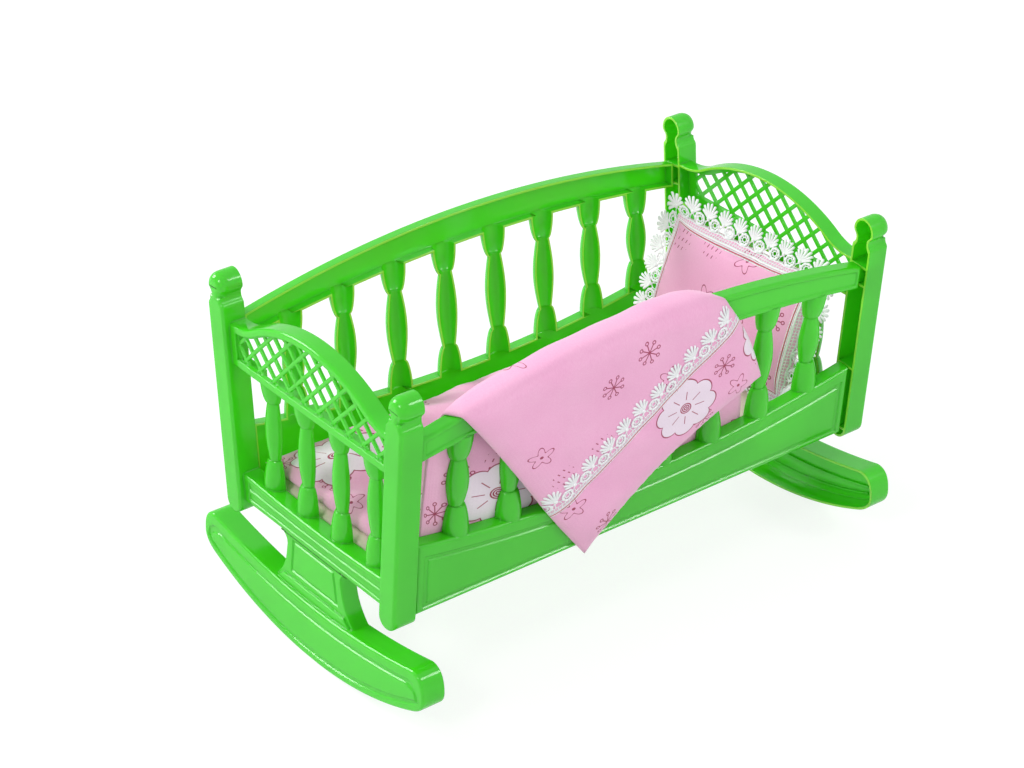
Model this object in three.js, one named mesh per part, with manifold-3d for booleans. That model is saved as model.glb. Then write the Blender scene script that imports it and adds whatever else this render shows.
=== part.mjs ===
import * as THREE from 'three';
import { mergeVertices } from 'three/addons/utils/BufferGeometryUtils.js';
import Module from 'manifold-3d';

const wasm = await Module();
wasm.setup();

// Sizes are in millimetres. X runs from the foot end to the head end, Y from the near side to
// the far side and Z up from the ground, with the rockers standing on Z = 0.

// Overall
const length = 430;
const endDepth = 18.3;
const wall = 1.8;
const faceWall = 2.4;
const fitGap = 0.3;
const cutOver = 4;
const leanDegrees = 4.4;

// Rocker
const rockerReach = 133.2;
const rockerRadius = 300;
const rockerTopRadius = 545;
const rockerMidHeight = 45.6;
const rockerTipSize = 13;
const rockerTipLift = -1.5;
const restLength = 20;
const rockerRound = 2;
const rockerTopBand = 7.8;
const rockerLowBand = 5.4;
const rockerTipBand = 4.8;
const rockerGroove = 4.4;
const grooveDepth = 0.9;
const ridgeWidth = 2;
const ridgeRise = 1.8;

// Posts
const postWidth = 18;
const postRound = 2.4;
const postFootHalf = 91.5;
const postFootDrop = 10.9;
const postHeadRise = 37.8;
const postTopRise = 22.8;
const shoulderRound = 2.5;
const neckRise = 5.6;
const neckCut = 2.8;
const neckEase = 3.2;
const finialRise = 12.6;
const finialSwell = 0.5;

// Stem between the rocker and the lower rail
const stemTopHalf = 31.8;
const stemWaistHalf = 33.6;
const stemFootHalf = 50;
const stemHeight = 41.3;
const stemWaistRise = 23.4;
const stemFlareRise = 9.4;
const stemFlareHalf = 36.5;
const stemFillet = 8;
const stemPanelTopHalf = 22.5;
const stemPanelFootHalf = 26;
const stemPanelFootRise = 14.4;
const stemPanelMargin = 4.4;
const stemGroove = 2.8;
const stemPlinthRise = 7.4;
const stemPlinthProud = 2;

// End rails, arch and lattice
const railDepth = 13.3;
const railRound = 2;
const lowRailHeight = 19.5;
const lowRailRadius = 1170;
const fieldInset = 3.8;
const fieldDepth = 0.8;
const fieldLine = 1.2;
const endOpening = 88.2;
const midRailThick = 6.6;
const archRise = 50.2;
const archRadius = 133;
const archHalf = 68;
const archShoulder = 43;
const archBand = 5;
const archStrip = 6;
const latticeFront = 11.3;
const latticeThick = 2;
const latticePitch = 17.4;
const latticeBar = 2.5;
const latticeRise = 11.2;
const latticeFrame = 1.6;

// Turned spindles
const turnWall = 1.5;
const endTurns = 4;
const endStep = 40.6;
const endBell = 10.4;
const endRing = 7;
const endNeck = 4.8;
const endWaist = 7.9;
const endHead = 9.8;
const sideTurns = 8;
const sideStep = 45;
const sideBell = 10.3;
const sideRing = 7.4;
const sideNeck = 5.4;
const sideWaist = 8.5;
const sideHead = 9.2;

// Side panels, sizes taken along their lean
const panelDepth = 10.6;
const panelInset = 2.6;
const panelRound = 2.6;
const panelEndGap = 2.2;
const panelFootRise = 7.2;
const panelHeight = 39.4;
const ledgeRadius = 1030;
const topRailDepth = 9.4;
const topRailRound = 2.2;
const sideOpening = 100.7;
const topRailHeight = 24.8;
const topRailHighRadius = 866;
const topRailLowRadius = 1200;
const topFieldEnd = 2.4;
const panelFieldTop = 9.4;
const panelFieldSide = 5.2;
const panelFieldLow = 3.2;
const panelGroove = 4.4;
const tongueLength = 9;
const tongueInset = 3.4;
const tongueThick = 3;
const tongueSet = 3.5;
const ribThick = 1.8;

// Floor panel
const floorThick = 2.2;
const floorTuck = 5.5;
const floorTuckEnd = 6;
const floorRibDrop = 6;
const floorRibInset = 16;

// Mattress
const mattressHeight = 21;
const mattressEndGap = 3;
const mattressSideGap = 1.6;
const mattressRound = 7;
const mattressCrown = 2.4;
const mattressEndPower = 8;
const mattressSidePower = 6;

// Pillow and its lace
const pillowWidth = 140;
const pillowTall = 96;
const pillowThick = 32;
const pillowSeam = 1.6;
const pillowFullness = 0.5;
const pillowFromEnd = 41.7;
const pillowFootY = -3;
const pillowFootRise = 4.75;
const pillowTiltDegrees = 18;
const pillowTurnDegrees = 7;
const pillowRollDegrees = 4;
const pillowDraw = 5;
const laceWidth = 17;
const laceThick = 0.8;
const laceScallop = 2.6;
const lacePitch = 17;
const laceForward = 0.9;
const laceCornerShare = 4;
const laceTurnShare = 1.6;

// Blanket and its lace
const blanketWidth = 180;
const blanketLength = 470;
const blanketTurnDegrees = 32;
const blanketCornerX = -50;
const blanketHang = 171.6;
const blanketSeam = 1.6;
const blanketPuff = 8.5;
const blanketPuffEdge = 26;
const blanketDrape = 0.6;
const blanketFootX = -187;
const blanketFootEase = 42;
const blanketSkewShare = 0.16;
const blanketSpread = 90;
const blanketSpreadEase = 80;
const blanketFarY = 66;
const blanketBend = 1.4;
const blanketBedBend = 14;
const blanketFold = 1.6;
const blanketFoldPitch = 58;
const bandFrom = 48;
const bandWidth = 24;
const bandLift = 1.1;
const bandThick = 0.7;
const bandMargin = 0.02;

// Facet counts
const arcFacets = 5;
const smallArcFacets = 4;
const innerFacets = 3;
const roundFacets = 2;
const turnFacets = 12;
const turnRows = 13;
const turnInnerFacets = 8;
const turnInnerRows = 7;
const mattressColumns = 12;
const mattressRows = 10;
const pillowColumns = 14;
const pillowRows = 12;
const blanketColumns = 12;
const blanketRowCounts = [9, 2, 1, 2, 6, 3, 7];
const laceFacets = 3;
const bandRows = 1;
const weld = 1e-4;

// Colours and surfaces
const green = 0x36cf22;
const pink = 0xee9fc0;
const cream = 0xf3e3d6;
const white = 0xfbfaf7;
const plasticRoughness = 0.25;
const clothRoughness = 0.9;

// Positions worked out from the sizes
const lean = THREE.MathUtils.degToRad(leanDegrees);
const leanSin = Math.sin(lean);
const leanCos = Math.cos(lean);
const mouthX = length / 2 - endDepth;
const panelReach = mouthX - panelEndGap;
const lowRailBottom = rockerMidHeight + stemHeight;
const lowRailTop = lowRailBottom + lowRailHeight;
const midRailBottom = lowRailTop + endOpening;
const midRailTop = midRailBottom + midRailThick;
const archTop = midRailTop + archRise;
const postFootHeight = lowRailBottom - postFootDrop;
const shoulderHeight = (midRailTop - postFootHeight) / leanCos + postHeadRise;
const postLength = shoulderHeight + postTopRise;
const panelBottom = postFootHeight / leanCos + panelFootRise;
const ledgeMid = panelBottom + panelHeight;
const topRailLow = ledgeMid + sideOpening;
const topRailHigh = topRailLow + topRailHeight;
const panelShift = postWidth / 2 - panelInset - panelDepth;
const panelFootY = postFootHalf + (panelShift - postFootHeight * leanSin) / leanCos;
const panelToPost = (panelFootY - postFootHalf) * leanSin - postFootHeight * leanCos;
const mouthY = (z) => panelFootY + z * Math.tan(lean);
const floorTop = (panelBottom + wall) * leanCos + fitGap + floorThick;
const mattressBottom = floorTop + fitGap;
const mattressTop = mattressBottom + mattressHeight;

// Closed bodies from surfaces, and their joins and cuts
function body(geometry) {
  geometry.deleteAttribute('normal');
  geometry.deleteAttribute('uv');
  const merged = mergeVertices(geometry, weld);
  return new wasm.Manifold(new wasm.Mesh({
    numProp: 3,
    vertProperties: new Float32Array(merged.attributes.position.array),
    triVerts: new Uint32Array(merged.index.array),
  }));
}

function joined(list) {
  return list.map(body).reduce((sum, item) => sum.add(item));
}

function carved(solid, list) {
  return list.map(body).reduce((rest, item) => rest.subtract(item), solid);
}

function surface(solid) {
  const mesh = solid.getMesh();
  const geometry = new THREE.BufferGeometry();
  geometry.setAttribute('position', new THREE.BufferAttribute(new Float32Array(mesh.vertProperties), 3));
  geometry.setIndex(new THREE.BufferAttribute(new Uint32Array(mesh.triVerts), 1));
  return geometry;
}

// An outline drawn face on and pushed out from one height to another, its edges rounded if asked
function plate(shape, from, to, round = 0, facets = arcFacets) {
  const points = shape.getPoints(facets);
  const apart = points.filter((point, i) => point.distanceTo(points[(i + 1) % points.length]) > cutOver * weld);
  const outline = new THREE.Shape(apart);
  outline.holes = shape.holes.map((hole) => new THREE.Path(hole.getPoints(facets)));
  const geometry = new THREE.ExtrudeGeometry(outline, {
    depth: to - from - 2 * round,
    steps: 1,
    bevelEnabled: round > 0,
    bevelThickness: round,
    bevelSize: round,
    bevelOffset: -round,
    bevelSegments: roundFacets,
  });
  geometry.translate(0, 0, from + round);
  return geometry;
}

function block(x0, x1, y0, y1, z0, z1) {
  const geometry = new THREE.BoxGeometry(x1 - x0, y1 - y0, z1 - z0);
  geometry.translate((x0 + x1) / 2, (y0 + y1) / 2, (z0 + z1) / 2);
  return geometry;
}

function ringed(outer, inner) {
  outer.holes.push(inner);
  return outer;
}

// A band between two long arcs; a positive radius curves up towards the ends
function bandShape(low, lowRadius, high, highRadius, reach) {
  const shape = new THREE.Shape();
  const steps = 2 * arcFacets;
  const rise = (x, radius) => Number.isFinite(radius) ? x * x / (2 * radius) : 0;
  for (let i = 0; i <= steps; i += 1) {
    const x = reach * (2 * i / steps - 1);
    if (Number.isFinite(lowRadius) || i === 0 || i === steps) {
      const place = i === 0 ? 'moveTo' : 'lineTo';
      shape[place](x, low + rise(x, lowRadius));
    }
  }
  for (let i = steps; i >= 0; i -= 1) {
    const x = reach * (2 * i / steps - 1);
    shape.lineTo(x, high + rise(x, highRadius));
  }
  return shape;
}

// Turned spindle: bell foot, ring, neck, vase body, neck and bell head
const turnHeightShares = [0, 0.07, 0.15, 0.18, 0.215, 0.25, 0.33, 0.47, 0.62, 0.73, 0.79, 0.87, 0.95, 1];

function turned(sizes, x, low, high, inset, extra) {
  const rows = inset > 0 ? turnInnerRows : turnRows;
  const facets = inset > 0 ? turnInnerFacets : turnFacets;
  const { bell, ring, neck, waist, head } = sizes;
  const mid = (a, b) => (a + b) / 2;
  const radii = [bell, mid(bell, mid(bell, ring)), ring, ring, ring, neck, mid(neck, waist), waist,
    mid(neck, waist), neck, neck, mid(neck, head), mid(mid(neck, head), head), head];
  const curve = new THREE.SplineCurve(turnHeightShares.map(
    (share, i) => new THREE.Vector2(radii[i] - inset, low + share * (high - low))));
  const points = curve.getPoints(rows);
  points.unshift(new THREE.Vector2(0, low - extra), new THREE.Vector2(points[0].x, low - extra));
  points.push(new THREE.Vector2(points.at(-1).x, high + extra), new THREE.Vector2(0, high + extra));
  const geometry = new THREE.LatheGeometry(points, facets);
  geometry.translate(x, 0, 0);
  return geometry;
}

function evenly(count, step) {
  return Array.from({ length: count }, (_, i) => (i - (count - 1) / 2) * step);
}

// Every moulding is drawn face on, with its open back cut flat at height 0
function moulding(members, hollows, inserts, cuts) {
  const shell = carved(joined(members), hollows);
  const fitted = inserts.length ? shell.add(joined(inserts)) : shell;
  const front = body(block(-length, length, -length, length, 0, length));
  return carved(fitted, cuts).intersect(front);
}

// Rocker outline, drawn in from its top, its underside and its tips
function rockerShape(top, under, tip) {
  const reach = rockerReach - tip;
  const end = reach - rockerTipSize;
  const centre = Math.sqrt(rockerRadius ** 2 - (restLength / 2) ** 2);
  const topCentre = rockerMidHeight + rockerTopRadius;
  const lowRadius = rockerRadius - under;
  const topRadius = rockerTopRadius + top;
  const start = Math.asin(restLength / 2 / rockerRadius);
  const lowEnd = Math.asin(end / lowRadius);
  const topEnd = Math.asin(end / topRadius);
  const down = -Math.PI / 2;
  const high = topCentre - topRadius * Math.cos(topEnd);
  const low = centre - lowRadius * Math.cos(lowEnd);
  const tipZ = (high + low) / 2 + rockerTipLift;
  const lowSlope = Math.tan(lowEnd) * rockerTipSize;
  const shape = new THREE.Shape();
  shape.absarc(0, centre, lowRadius, down + start, down + lowEnd, false);
  shape.quadraticCurveTo(reach, low + lowSlope, reach, tipZ);
  shape.quadraticCurveTo(reach, high, end, high);
  shape.absarc(0, topCentre, topRadius, down + topEnd, down - topEnd, true);
  shape.quadraticCurveTo(-reach, high, -reach, tipZ);
  shape.quadraticCurveTo(-reach, low + lowSlope, -end, low);
  shape.absarc(0, centre, lowRadius, down - lowEnd, down - start, false);
  shape.closePath();
  return shape;
}

// Post outline along its own axis, with a round foot, a neck and a finial
function postShape(inset) {
  const half = postWidth / 2 - inset;
  const neck = half - neckCut;
  const finial = half + finialSwell;
  const shoulder = shoulderHeight - inset;
  const neckAt = shoulderHeight + neckRise;
  const finialAt = shoulderHeight + finialRise;
  const shape = new THREE.Shape();
  shape.absarc(0, half + inset, half, Math.PI, 2 * Math.PI, false);
  shape.lineTo(half, shoulder - shoulderRound);
  shape.bezierCurveTo(half, shoulder + shoulderRound, neck, shoulder, neck, neckAt);
  shape.bezierCurveTo(neck, neckAt + neckEase, finial, finialAt - neckEase, finial, finialAt);
  shape.absellipse(0, finialAt, finial, postLength - inset - finialAt, 0, Math.PI, false, 0);
  shape.bezierCurveTo(-finial, finialAt - neckEase, -neck, neckAt + neckEase, -neck, neckAt);
  shape.bezierCurveTo(-neck, shoulder, -half, shoulder + shoulderRound, -half, shoulder - shoulderRound);
  shape.closePath();
  return shape;
}

function onPost(geometry, side) {
  geometry.rotateZ(-side * lean);
  geometry.translate(side * postFootHalf, postFootHeight, 0);
  return geometry;
}

// Field between the two leaning posts, drawn in from their axes
function bayShape(inset, low, high) {
  const half = (z) => postFootHalf + (z - postFootHeight) * Math.tan(lean) - inset / leanCos;
  const shape = new THREE.Shape();
  shape.moveTo(-half(low), low);
  shape.lineTo(half(low), low);
  shape.lineTo(half(high), high);
  shape.lineTo(-half(high), high);
  shape.closePath();
  return shape;
}

// Arched head: a round crown running out in hollow shoulders, with a straight lower edge
function archShape(inset, low) {
  const angle = Math.asin(archHalf / archRadius);
  const centreZ = archTop - archRadius;
  const span = archRadius + archShoulder;
  const sideX = span * Math.sin(angle);
  const sideZ = centreZ + span * Math.cos(angle);
  const crown = archRadius - inset;
  const hollow = archShoulder + inset;
  const up = Math.PI / 2;
  const wide = sideX + postWidth;
  const shape = new THREE.Shape();
  shape.moveTo(-wide, low);
  shape.lineTo(wide, low);
  shape.lineTo(wide, sideZ - hollow);
  shape.absarc(sideX, sideZ, hollow, -up, -up - angle, true);
  shape.absarc(0, centreZ, crown, up - angle, up + angle, false);
  shape.absarc(-sideX, sideZ, hollow, angle - up, -up, true);
  shape.lineTo(-wide, sideZ - hollow);
  shape.closePath();
  return shape;
}

function stemShape(inset, low, high) {
  const shape = new THREE.Shape();
  const side = (sign) => [
    [sign * (stemFootHalf - inset), low],
    [sign * (stemFlareHalf - inset), rockerMidHeight + stemFlareRise + inset],
    [sign * (stemWaistHalf - inset), rockerMidHeight + stemWaistRise],
    [sign * (stemTopHalf - inset), high - stemFillet],
    [sign * (stemTopHalf - inset), high],
    [sign * (stemTopHalf - inset + stemFillet), high],
  ];
  const right = side(1);
  const left = side(-1);
  shape.moveTo(...left[0]);
  shape.lineTo(...right[0]);
  shape.quadraticCurveTo(...right[1], ...right[2]);
  shape.lineTo(...right[3]);
  shape.quadraticCurveTo(...right[4], ...right[5]);
  shape.lineTo(...left[5]);
  shape.quadraticCurveTo(...left[4], ...left[3]);
  shape.lineTo(...left[2]);
  shape.quadraticCurveTo(...left[1], ...left[0]);
  return shape;
}

function latticeHoles() {
  const half = latticePitch / 2;
  const side = latticePitch / Math.SQRT2 - latticeBar;
  const columns = Math.ceil(postFootHalf / half);
  const middle = midRailTop + latticeRise;
  const rows = Math.ceil((archTop - middle) / half);
  const holes = [];
  for (let i = -columns; i <= columns; i += 1) {
    for (let j = -rows; j <= rows; j += 1) {
      if ((i + j) % 2 !== 0) {
        const hole = block(-side / 2, side / 2, -side / 2, side / 2, 0, railDepth);
        hole.rotateZ(Math.PI / 4);
        hole.translate(i * half, middle + j * half, 0);
        holes.push(hole);
      }
    }
  }
  const inner = archBand + latticeFrame;
  const crown = body(plate(archShape(inner, midRailTop), -cutOver, length));
  const bay = body(plate(bayShape(postWidth / 2 + archStrip + latticeFrame, midRailTop, archTop), -cutOver, length));
  return joined(holes).intersect(crown).intersect(bay);
}

function plinthShape() {
  const shape = new THREE.Shape();
  const low = rockerMidHeight - wall;
  const high = rockerMidHeight + stemPlinthRise;
  shape.moveTo(-stemFootHalf + rockerRound, low);
  shape.lineTo(stemFootHalf - rockerRound, low);
  shape.quadraticCurveTo(stemFlareHalf + rockerRound, high - rockerRound, stemFlareHalf, high);
  shape.lineTo(-stemFlareHalf, high);
  shape.quadraticCurveTo(-stemFlareHalf - rockerRound, high - rockerRound, -stemFootHalf + rockerRound, low);
  return shape;
}

function stemPanelShape(grow) {
  const shape = new THREE.Shape();
  const low = rockerMidHeight + stemPanelFootRise - grow;
  const high = lowRailBottom - stemPanelMargin + grow;
  shape.moveTo(-stemPanelFootHalf - grow, low);
  shape.lineTo(stemPanelFootHalf + grow, low);
  shape.lineTo(stemPanelTopHalf + grow, high);
  shape.lineTo(-stemPanelTopHalf - grow, high);
  shape.closePath();
  return shape;
}

// Ridges along the inside of the rocker, one behind each line of its face
function rockerRidges() {
  const place = [rockerLowBand, rockerTopBand].map((band, i) => {
    const edge = i === 0 ? band + rockerGroove / 2 : rockerMidHeight - band - rockerGroove / 2;
    const radius = i === 0 ? rockerRadius : rockerTopRadius;
    return [edge, radius];
  });
  const middle = [(place[0][0] + place[1][0]) / 2, (place[0][1] + place[1][1]) / 2];
  const reach = rockerReach - 2 * rockerTipSize;
  return [...place, middle].map(([z, radius]) => plate(
    bandShape(z - ridgeWidth / 2, radius, z + ridgeWidth / 2, radius, reach),
    endDepth - faceWall - ridgeRise, endDepth - faceWall / 2));
}

// Pairs of ribs inside a post, above and below each tongue of the side panels
function tongueSpans() {
  const top = panelReach * panelReach / 2;
  return [
    [panelBottom + tongueInset, ledgeMid + top / ledgeRadius - tongueInset],
    [topRailLow - top / topRailLowRadius + tongueInset, topRailHigh - top / topRailHighRadius - tongueInset],
  ];
}

function postRibs(side) {
  const half = (postWidth - wall) / 2;
  const depth = endDepth - faceWall / 2;
  const levels = tongueSpans().flatMap(([low, high]) => [low - fitGap - ribThick, high + fitGap]);
  return levels.map((level) => onPost(
    block(-half, half, level + panelToPost, level + panelToPost + ribThick, 0, depth), side));
}

// One end: rocker, stem, two posts, rails, arch with its lattice and four spindles in one moulding
function endPanel() {
  const sizes = { bell: endBell, ring: endRing, neck: endNeck, waist: endWaist, head: endHead };
  const steps = evenly(endTurns, endStep);
  const footZ = (x) => lowRailTop + x * x / (2 * lowRailRadius);
  const back = -cutOver;
  const inner = postWidth / 2 + fitGap;
  const window = postWidth / 2 + archStrip;
  const reach = postFootHalf + (lowRailBottom - postFootHeight) * Math.tan(lean);
  const hollowReach = reach - inner / leanCos;
  const fieldReach = hollowReach - fieldInset;
  const fieldMid = (lowRailBottom + lowRailTop) / 2;
  const behind = railDepth - faceWall;
  const arch = body(plate(archShape(0, midRailBottom), back - railRound, railDepth, railRound))
    .intersect(body(plate(bayShape(0, midRailBottom - railRound, archTop + railRound), back, length)));
  const archHollow = body(plate(archShape(wall, midRailBottom + wall), back, latticeFront - latticeThick))
    .intersect(body(plate(bayShape(inner, midRailBottom, archTop), back - cutOver, length)));
  const stemHollow = body(plate(stemShape(wall, rockerMidHeight - wall, lowRailBottom), back, behind, 0, smallArcFacets))
    .intersect(body(block(-stemFootHalf, stemFootHalf, rockerMidHeight + rockerRound, lowRailBottom, -length, length)));
  const archWindow = body(plate(archShape(archBand, midRailTop), latticeFront, length))
    .intersect(body(plate(bayShape(window, midRailBottom, archTop), 0, 2 * length)));
  const members = [
    plate(rockerShape(0, 0, 0), back - rockerRound, endDepth, rockerRound),
    onPost(plate(postShape(0), back - postRound, endDepth, postRound, smallArcFacets), -1),
    onPost(plate(postShape(0), back - postRound, endDepth, postRound, smallArcFacets), 1),
    plate(stemShape(0, rockerMidHeight - wall, lowRailBottom), back, railDepth, 0, smallArcFacets),
    block(-stemTopHalf, stemTopHalf, lowRailBottom - wall, lowRailBottom + wall, back, railDepth),
    plate(plinthShape(), back, railDepth + stemPlinthProud, 0, smallArcFacets),
    plate(bandShape(lowRailBottom, Infinity, lowRailTop, lowRailRadius, reach), back - railRound, railDepth, railRound),
    surface(arch),
    ...steps.map((x) => turned(sizes, x, footZ(x), midRailBottom, 0, wall)),
  ];
  const hollows = [
    plate(rockerShape(wall, wall, wall), back, endDepth - faceWall, 0, innerFacets),
    onPost(plate(postShape(wall), back, endDepth - faceWall, 0, innerFacets), -1),
    onPost(plate(postShape(wall), back, endDepth - faceWall, 0, innerFacets), 1),
    surface(stemHollow),
    plate(bandShape(lowRailBottom + wall, Infinity, lowRailTop - wall, lowRailRadius, hollowReach), back, behind),
    surface(archHollow),
    ...steps.map((x) => turned(sizes, x, footZ(x), midRailBottom, turnWall, wall + fitGap)),
  ];
  const inserts = [...rockerRidges(), ...postRibs(-1), ...postRibs(1)];
  const rockerRing = ringed(
    rockerShape(rockerTopBand, rockerLowBand, rockerTipBand),
    rockerShape(rockerTopBand + rockerGroove, rockerLowBand + rockerGroove, rockerTipBand + rockerGroove));
  const cuts = [
    plate(rockerRing, endDepth - grooveDepth, length),
    plate(ringed(stemPanelShape(stemGroove), stemPanelShape(0)), railDepth - grooveDepth, length),
    plate(bandShape(lowRailBottom + fieldInset, Infinity, fieldMid - fieldLine / 2, 2 * lowRailRadius, fieldReach),
      railDepth - fieldDepth, length),
    plate(bandShape(fieldMid + fieldLine / 2, 2 * lowRailRadius, lowRailTop - fieldInset, lowRailRadius, fieldReach),
      railDepth - fieldDepth, length),
    surface(archWindow),
    surface(latticeHoles()),
  ];
  return surface(moulding(members, hollows, inserts, cuts));
}

// One side: lower panel, arched top rail, eight spindles and four tongues in one moulding
function sidePanel() {
  const sizes = { bell: sideBell, ring: sideRing, neck: sideNeck, waist: sideWaist, head: sideHead };
  const steps = evenly(sideTurns, sideStep);
  const ledgeAt = (x) => ledgeMid + x * x / (2 * ledgeRadius);
  const railAt = (x) => topRailLow - x * x / (2 * topRailLowRadius);
  const back = -cutOver;
  const inside = panelReach - wall;
  const fieldReach = panelReach - panelFieldSide;
  const panel = (low, high, side) => bandShape(panelBottom + low, Infinity, ledgeMid - high, ledgeRadius,
    panelReach - side);
  const rail = (inset, side) => bandShape(topRailLow + inset, -topRailLowRadius, topRailHigh - inset,
    -topRailHighRadius, panelReach - side);
  const tongues = tongueSpans().flatMap(([low, high]) => [-1, 1].map((side) => {
    const ends = [side * (panelReach - wall / 2), side * (panelReach + tongueLength)].sort((a, b) => a - b);
    return block(...ends, low, high, tongueSet, tongueSet + tongueThick);
  }));
  const members = [
    plate(panel(0, 0, 0), back - panelRound, panelDepth, panelRound),
    plate(rail(0, 0), back - topRailRound, topRailDepth, topRailRound),
    ...steps.map((x) => turned(sizes, x, ledgeAt(x), railAt(x), 0, wall)),
  ];
  const hollows = [
    plate(panel(wall, wall, wall), back, panelDepth - faceWall),
    plate(rail(wall, wall), back, topRailDepth - faceWall),
    ...steps.map((x) => turned(sizes, x, ledgeAt(x), railAt(x), turnWall, wall + fitGap)),
  ];
  const ring = ringed(
    panel(panelFieldLow, panelFieldTop, panelFieldSide),
    panel(panelFieldLow + panelGroove, panelFieldTop + panelGroove, panelFieldSide + panelGroove));
  const cuts = [
    plate(ring, panelDepth - grooveDepth, length),
    plate(rail(fieldInset, topFieldEnd), topRailDepth - fieldDepth, length),
  ];
  return surface(moulding(members, hollows, tongues, cuts));
}

// Flat floor tray, its long edges tucked into the open backs of the side panels
function floorPanel() {
  const edgeY = mouthY(floorTop - floorThick) - fitGap;
  const ribLow = floorTop - floorThick - floorRibDrop;
  const endX = mouthX - fitGap;
  const tuckX = panelReach - floorTuckEnd;
  const ribX = endX - floorRibInset;
  const ribY = edgeY - floorRibInset;
  const deck = block(-endX, endX, -edgeY, edgeY, floorTop - floorThick, floorTop);
  const tucks = block(-tuckX, tuckX, -edgeY - floorTuck, edgeY + floorTuck, floorTop - floorThick, floorTop);
  const frame = block(-ribX, ribX, -ribY, ribY, ribLow, floorTop - floorThick / 2);
  const open = [-1, 1].map((side) => {
    const ends = [side * wall / 2, side * (ribX - wall)].sort((a, b) => a - b);
    return block(...ends, -ribY + wall, ribY - wall, ribLow - cutOver, floorTop - floorThick);
  });
  return surface(carved(joined([frame]), open).add(joined([deck, tucks])));
}

// Closed sheet between an upper and a lower face, both given over the unit square
function sheetBody(upper, lower, columns, rows) {
  const positions = [];
  const index = [];
  const row = columns + 1;
  const layer = row * (rows + 1);
  [upper, lower].forEach((face) => {
    for (let j = 0; j <= rows; j += 1) {
      for (let i = 0; i <= columns; i += 1) {
        const point = face(i / columns, j / rows);
        positions.push(point.x, point.y, point.z);
      }
    }
  });
  for (let j = 0; j < rows; j += 1) {
    for (let i = 0; i < columns; i += 1) {
      const a = j * row + i;
      index.push(a, a + 1, a + row + 1, a, a + row + 1, a + row);
      const b = a + layer;
      index.push(b, b + row + 1, b + 1, b, b + row, b + row + 1);
    }
  }
  const wallQuad = (a, b) => index.push(a, a + layer, b + layer, a, b + layer, b);
  for (let i = 0; i < columns; i += 1) {
    wallQuad(i, i + 1);
    wallQuad(layer - 1 - i, layer - 2 - i);
  }
  for (let j = 0; j < rows; j += 1) {
    wallQuad(j * row + columns, (j + 1) * row + columns);
    wallQuad((j + 1) * row, j * row);
  }
  const geometry = new THREE.BufferGeometry();
  geometry.setAttribute('position', new THREE.Float32BufferAttribute(positions, 3));
  geometry.setIndex(index);
  return geometry;
}

// Thin pad lying on the floor tray, a little higher in the middle
function mattress() {
  const halfX = mouthX - mattressEndGap;
  const halfY = mouthY(mattressBottom) - mattressSideGap;
  const middle = (mattressBottom + mattressTop) / 2;
  const straight = mattressHeight / 2 - mattressRound;
  const eased = (u) => -Math.cos(Math.PI * u);
  const face = (side, crown) => (u, v) => {
    const swell = (1 - eased(u) ** mattressEndPower) * (1 - eased(v) ** mattressSidePower);
    const z = middle + side * (straight + mattressRound * Math.sqrt(Math.max(swell, 0))) + crown * swell;
    return new THREE.Vector3(eased(u) * halfX, eased(v) * halfY, z);
  };
  return sheetBody(face(1, mattressCrown), face(-1, 0), mattressColumns, mattressRows);
}

// Pillow leaning on the head end: full in the middle, thin at the seam, sides drawn in
function pillowEdge(u, v) {
  const a = 1 - 2 * u;
  const b = 2 * v - 1;
  const y = a * (pillowWidth / 2 - pillowDraw * (1 - b * b));
  const z = (1 + b) * pillowTall / 2 - b * pillowDraw * (1 - a * a);
  return [y, z];
}

function leant(geometry) {
  geometry.rotateX(-THREE.MathUtils.degToRad(pillowRollDegrees));
  geometry.rotateY(THREE.MathUtils.degToRad(pillowTiltDegrees));
  geometry.rotateZ(THREE.MathUtils.degToRad(pillowTurnDegrees));
  geometry.translate(mouthX - pillowFromEnd, pillowFootY, mattressTop + mattressCrown + pillowFootRise);
  return geometry;
}

function pillow() {
  const eased = (u) => (1 - Math.cos(Math.PI * u)) / 2;
  const face = (side) => (i, j) => {
    const u = eased(i);
    const v = eased(j);
    const [y, z] = pillowEdge(u, v);
    const full = Math.max(16 * u * (1 - u) * v * (1 - v), 0) ** pillowFullness;
    return new THREE.Vector3(-side * (pillowSeam + (pillowThick - pillowSeam) * full) / 2, y, z);
  };
  return leant(sheetBody(face(1), face(-1), pillowColumns, pillowRows));
}

// Closed band of four-cornered section running round a loop
function loopBody(section, steps) {
  const positions = [];
  const index = [];
  for (let i = 0; i < steps; i += 1) {
    section(i / steps).forEach((point) => positions.push(...point));
    for (let k = 0; k < 4; k += 1) {
      const a = 4 * i + k;
      const b = 4 * i + (k + 1) % 4;
      const c = 4 * ((i + 1) % steps) + (k + 1) % 4;
      const d = 4 * ((i + 1) % steps) + k;
      index.push(a, b, c, a, c, d);
    }
  }
  const geometry = new THREE.BufferGeometry();
  geometry.setAttribute('position', new THREE.Float32BufferAttribute(positions, 3));
  geometry.setIndex(index);
  return geometry;
}

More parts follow.
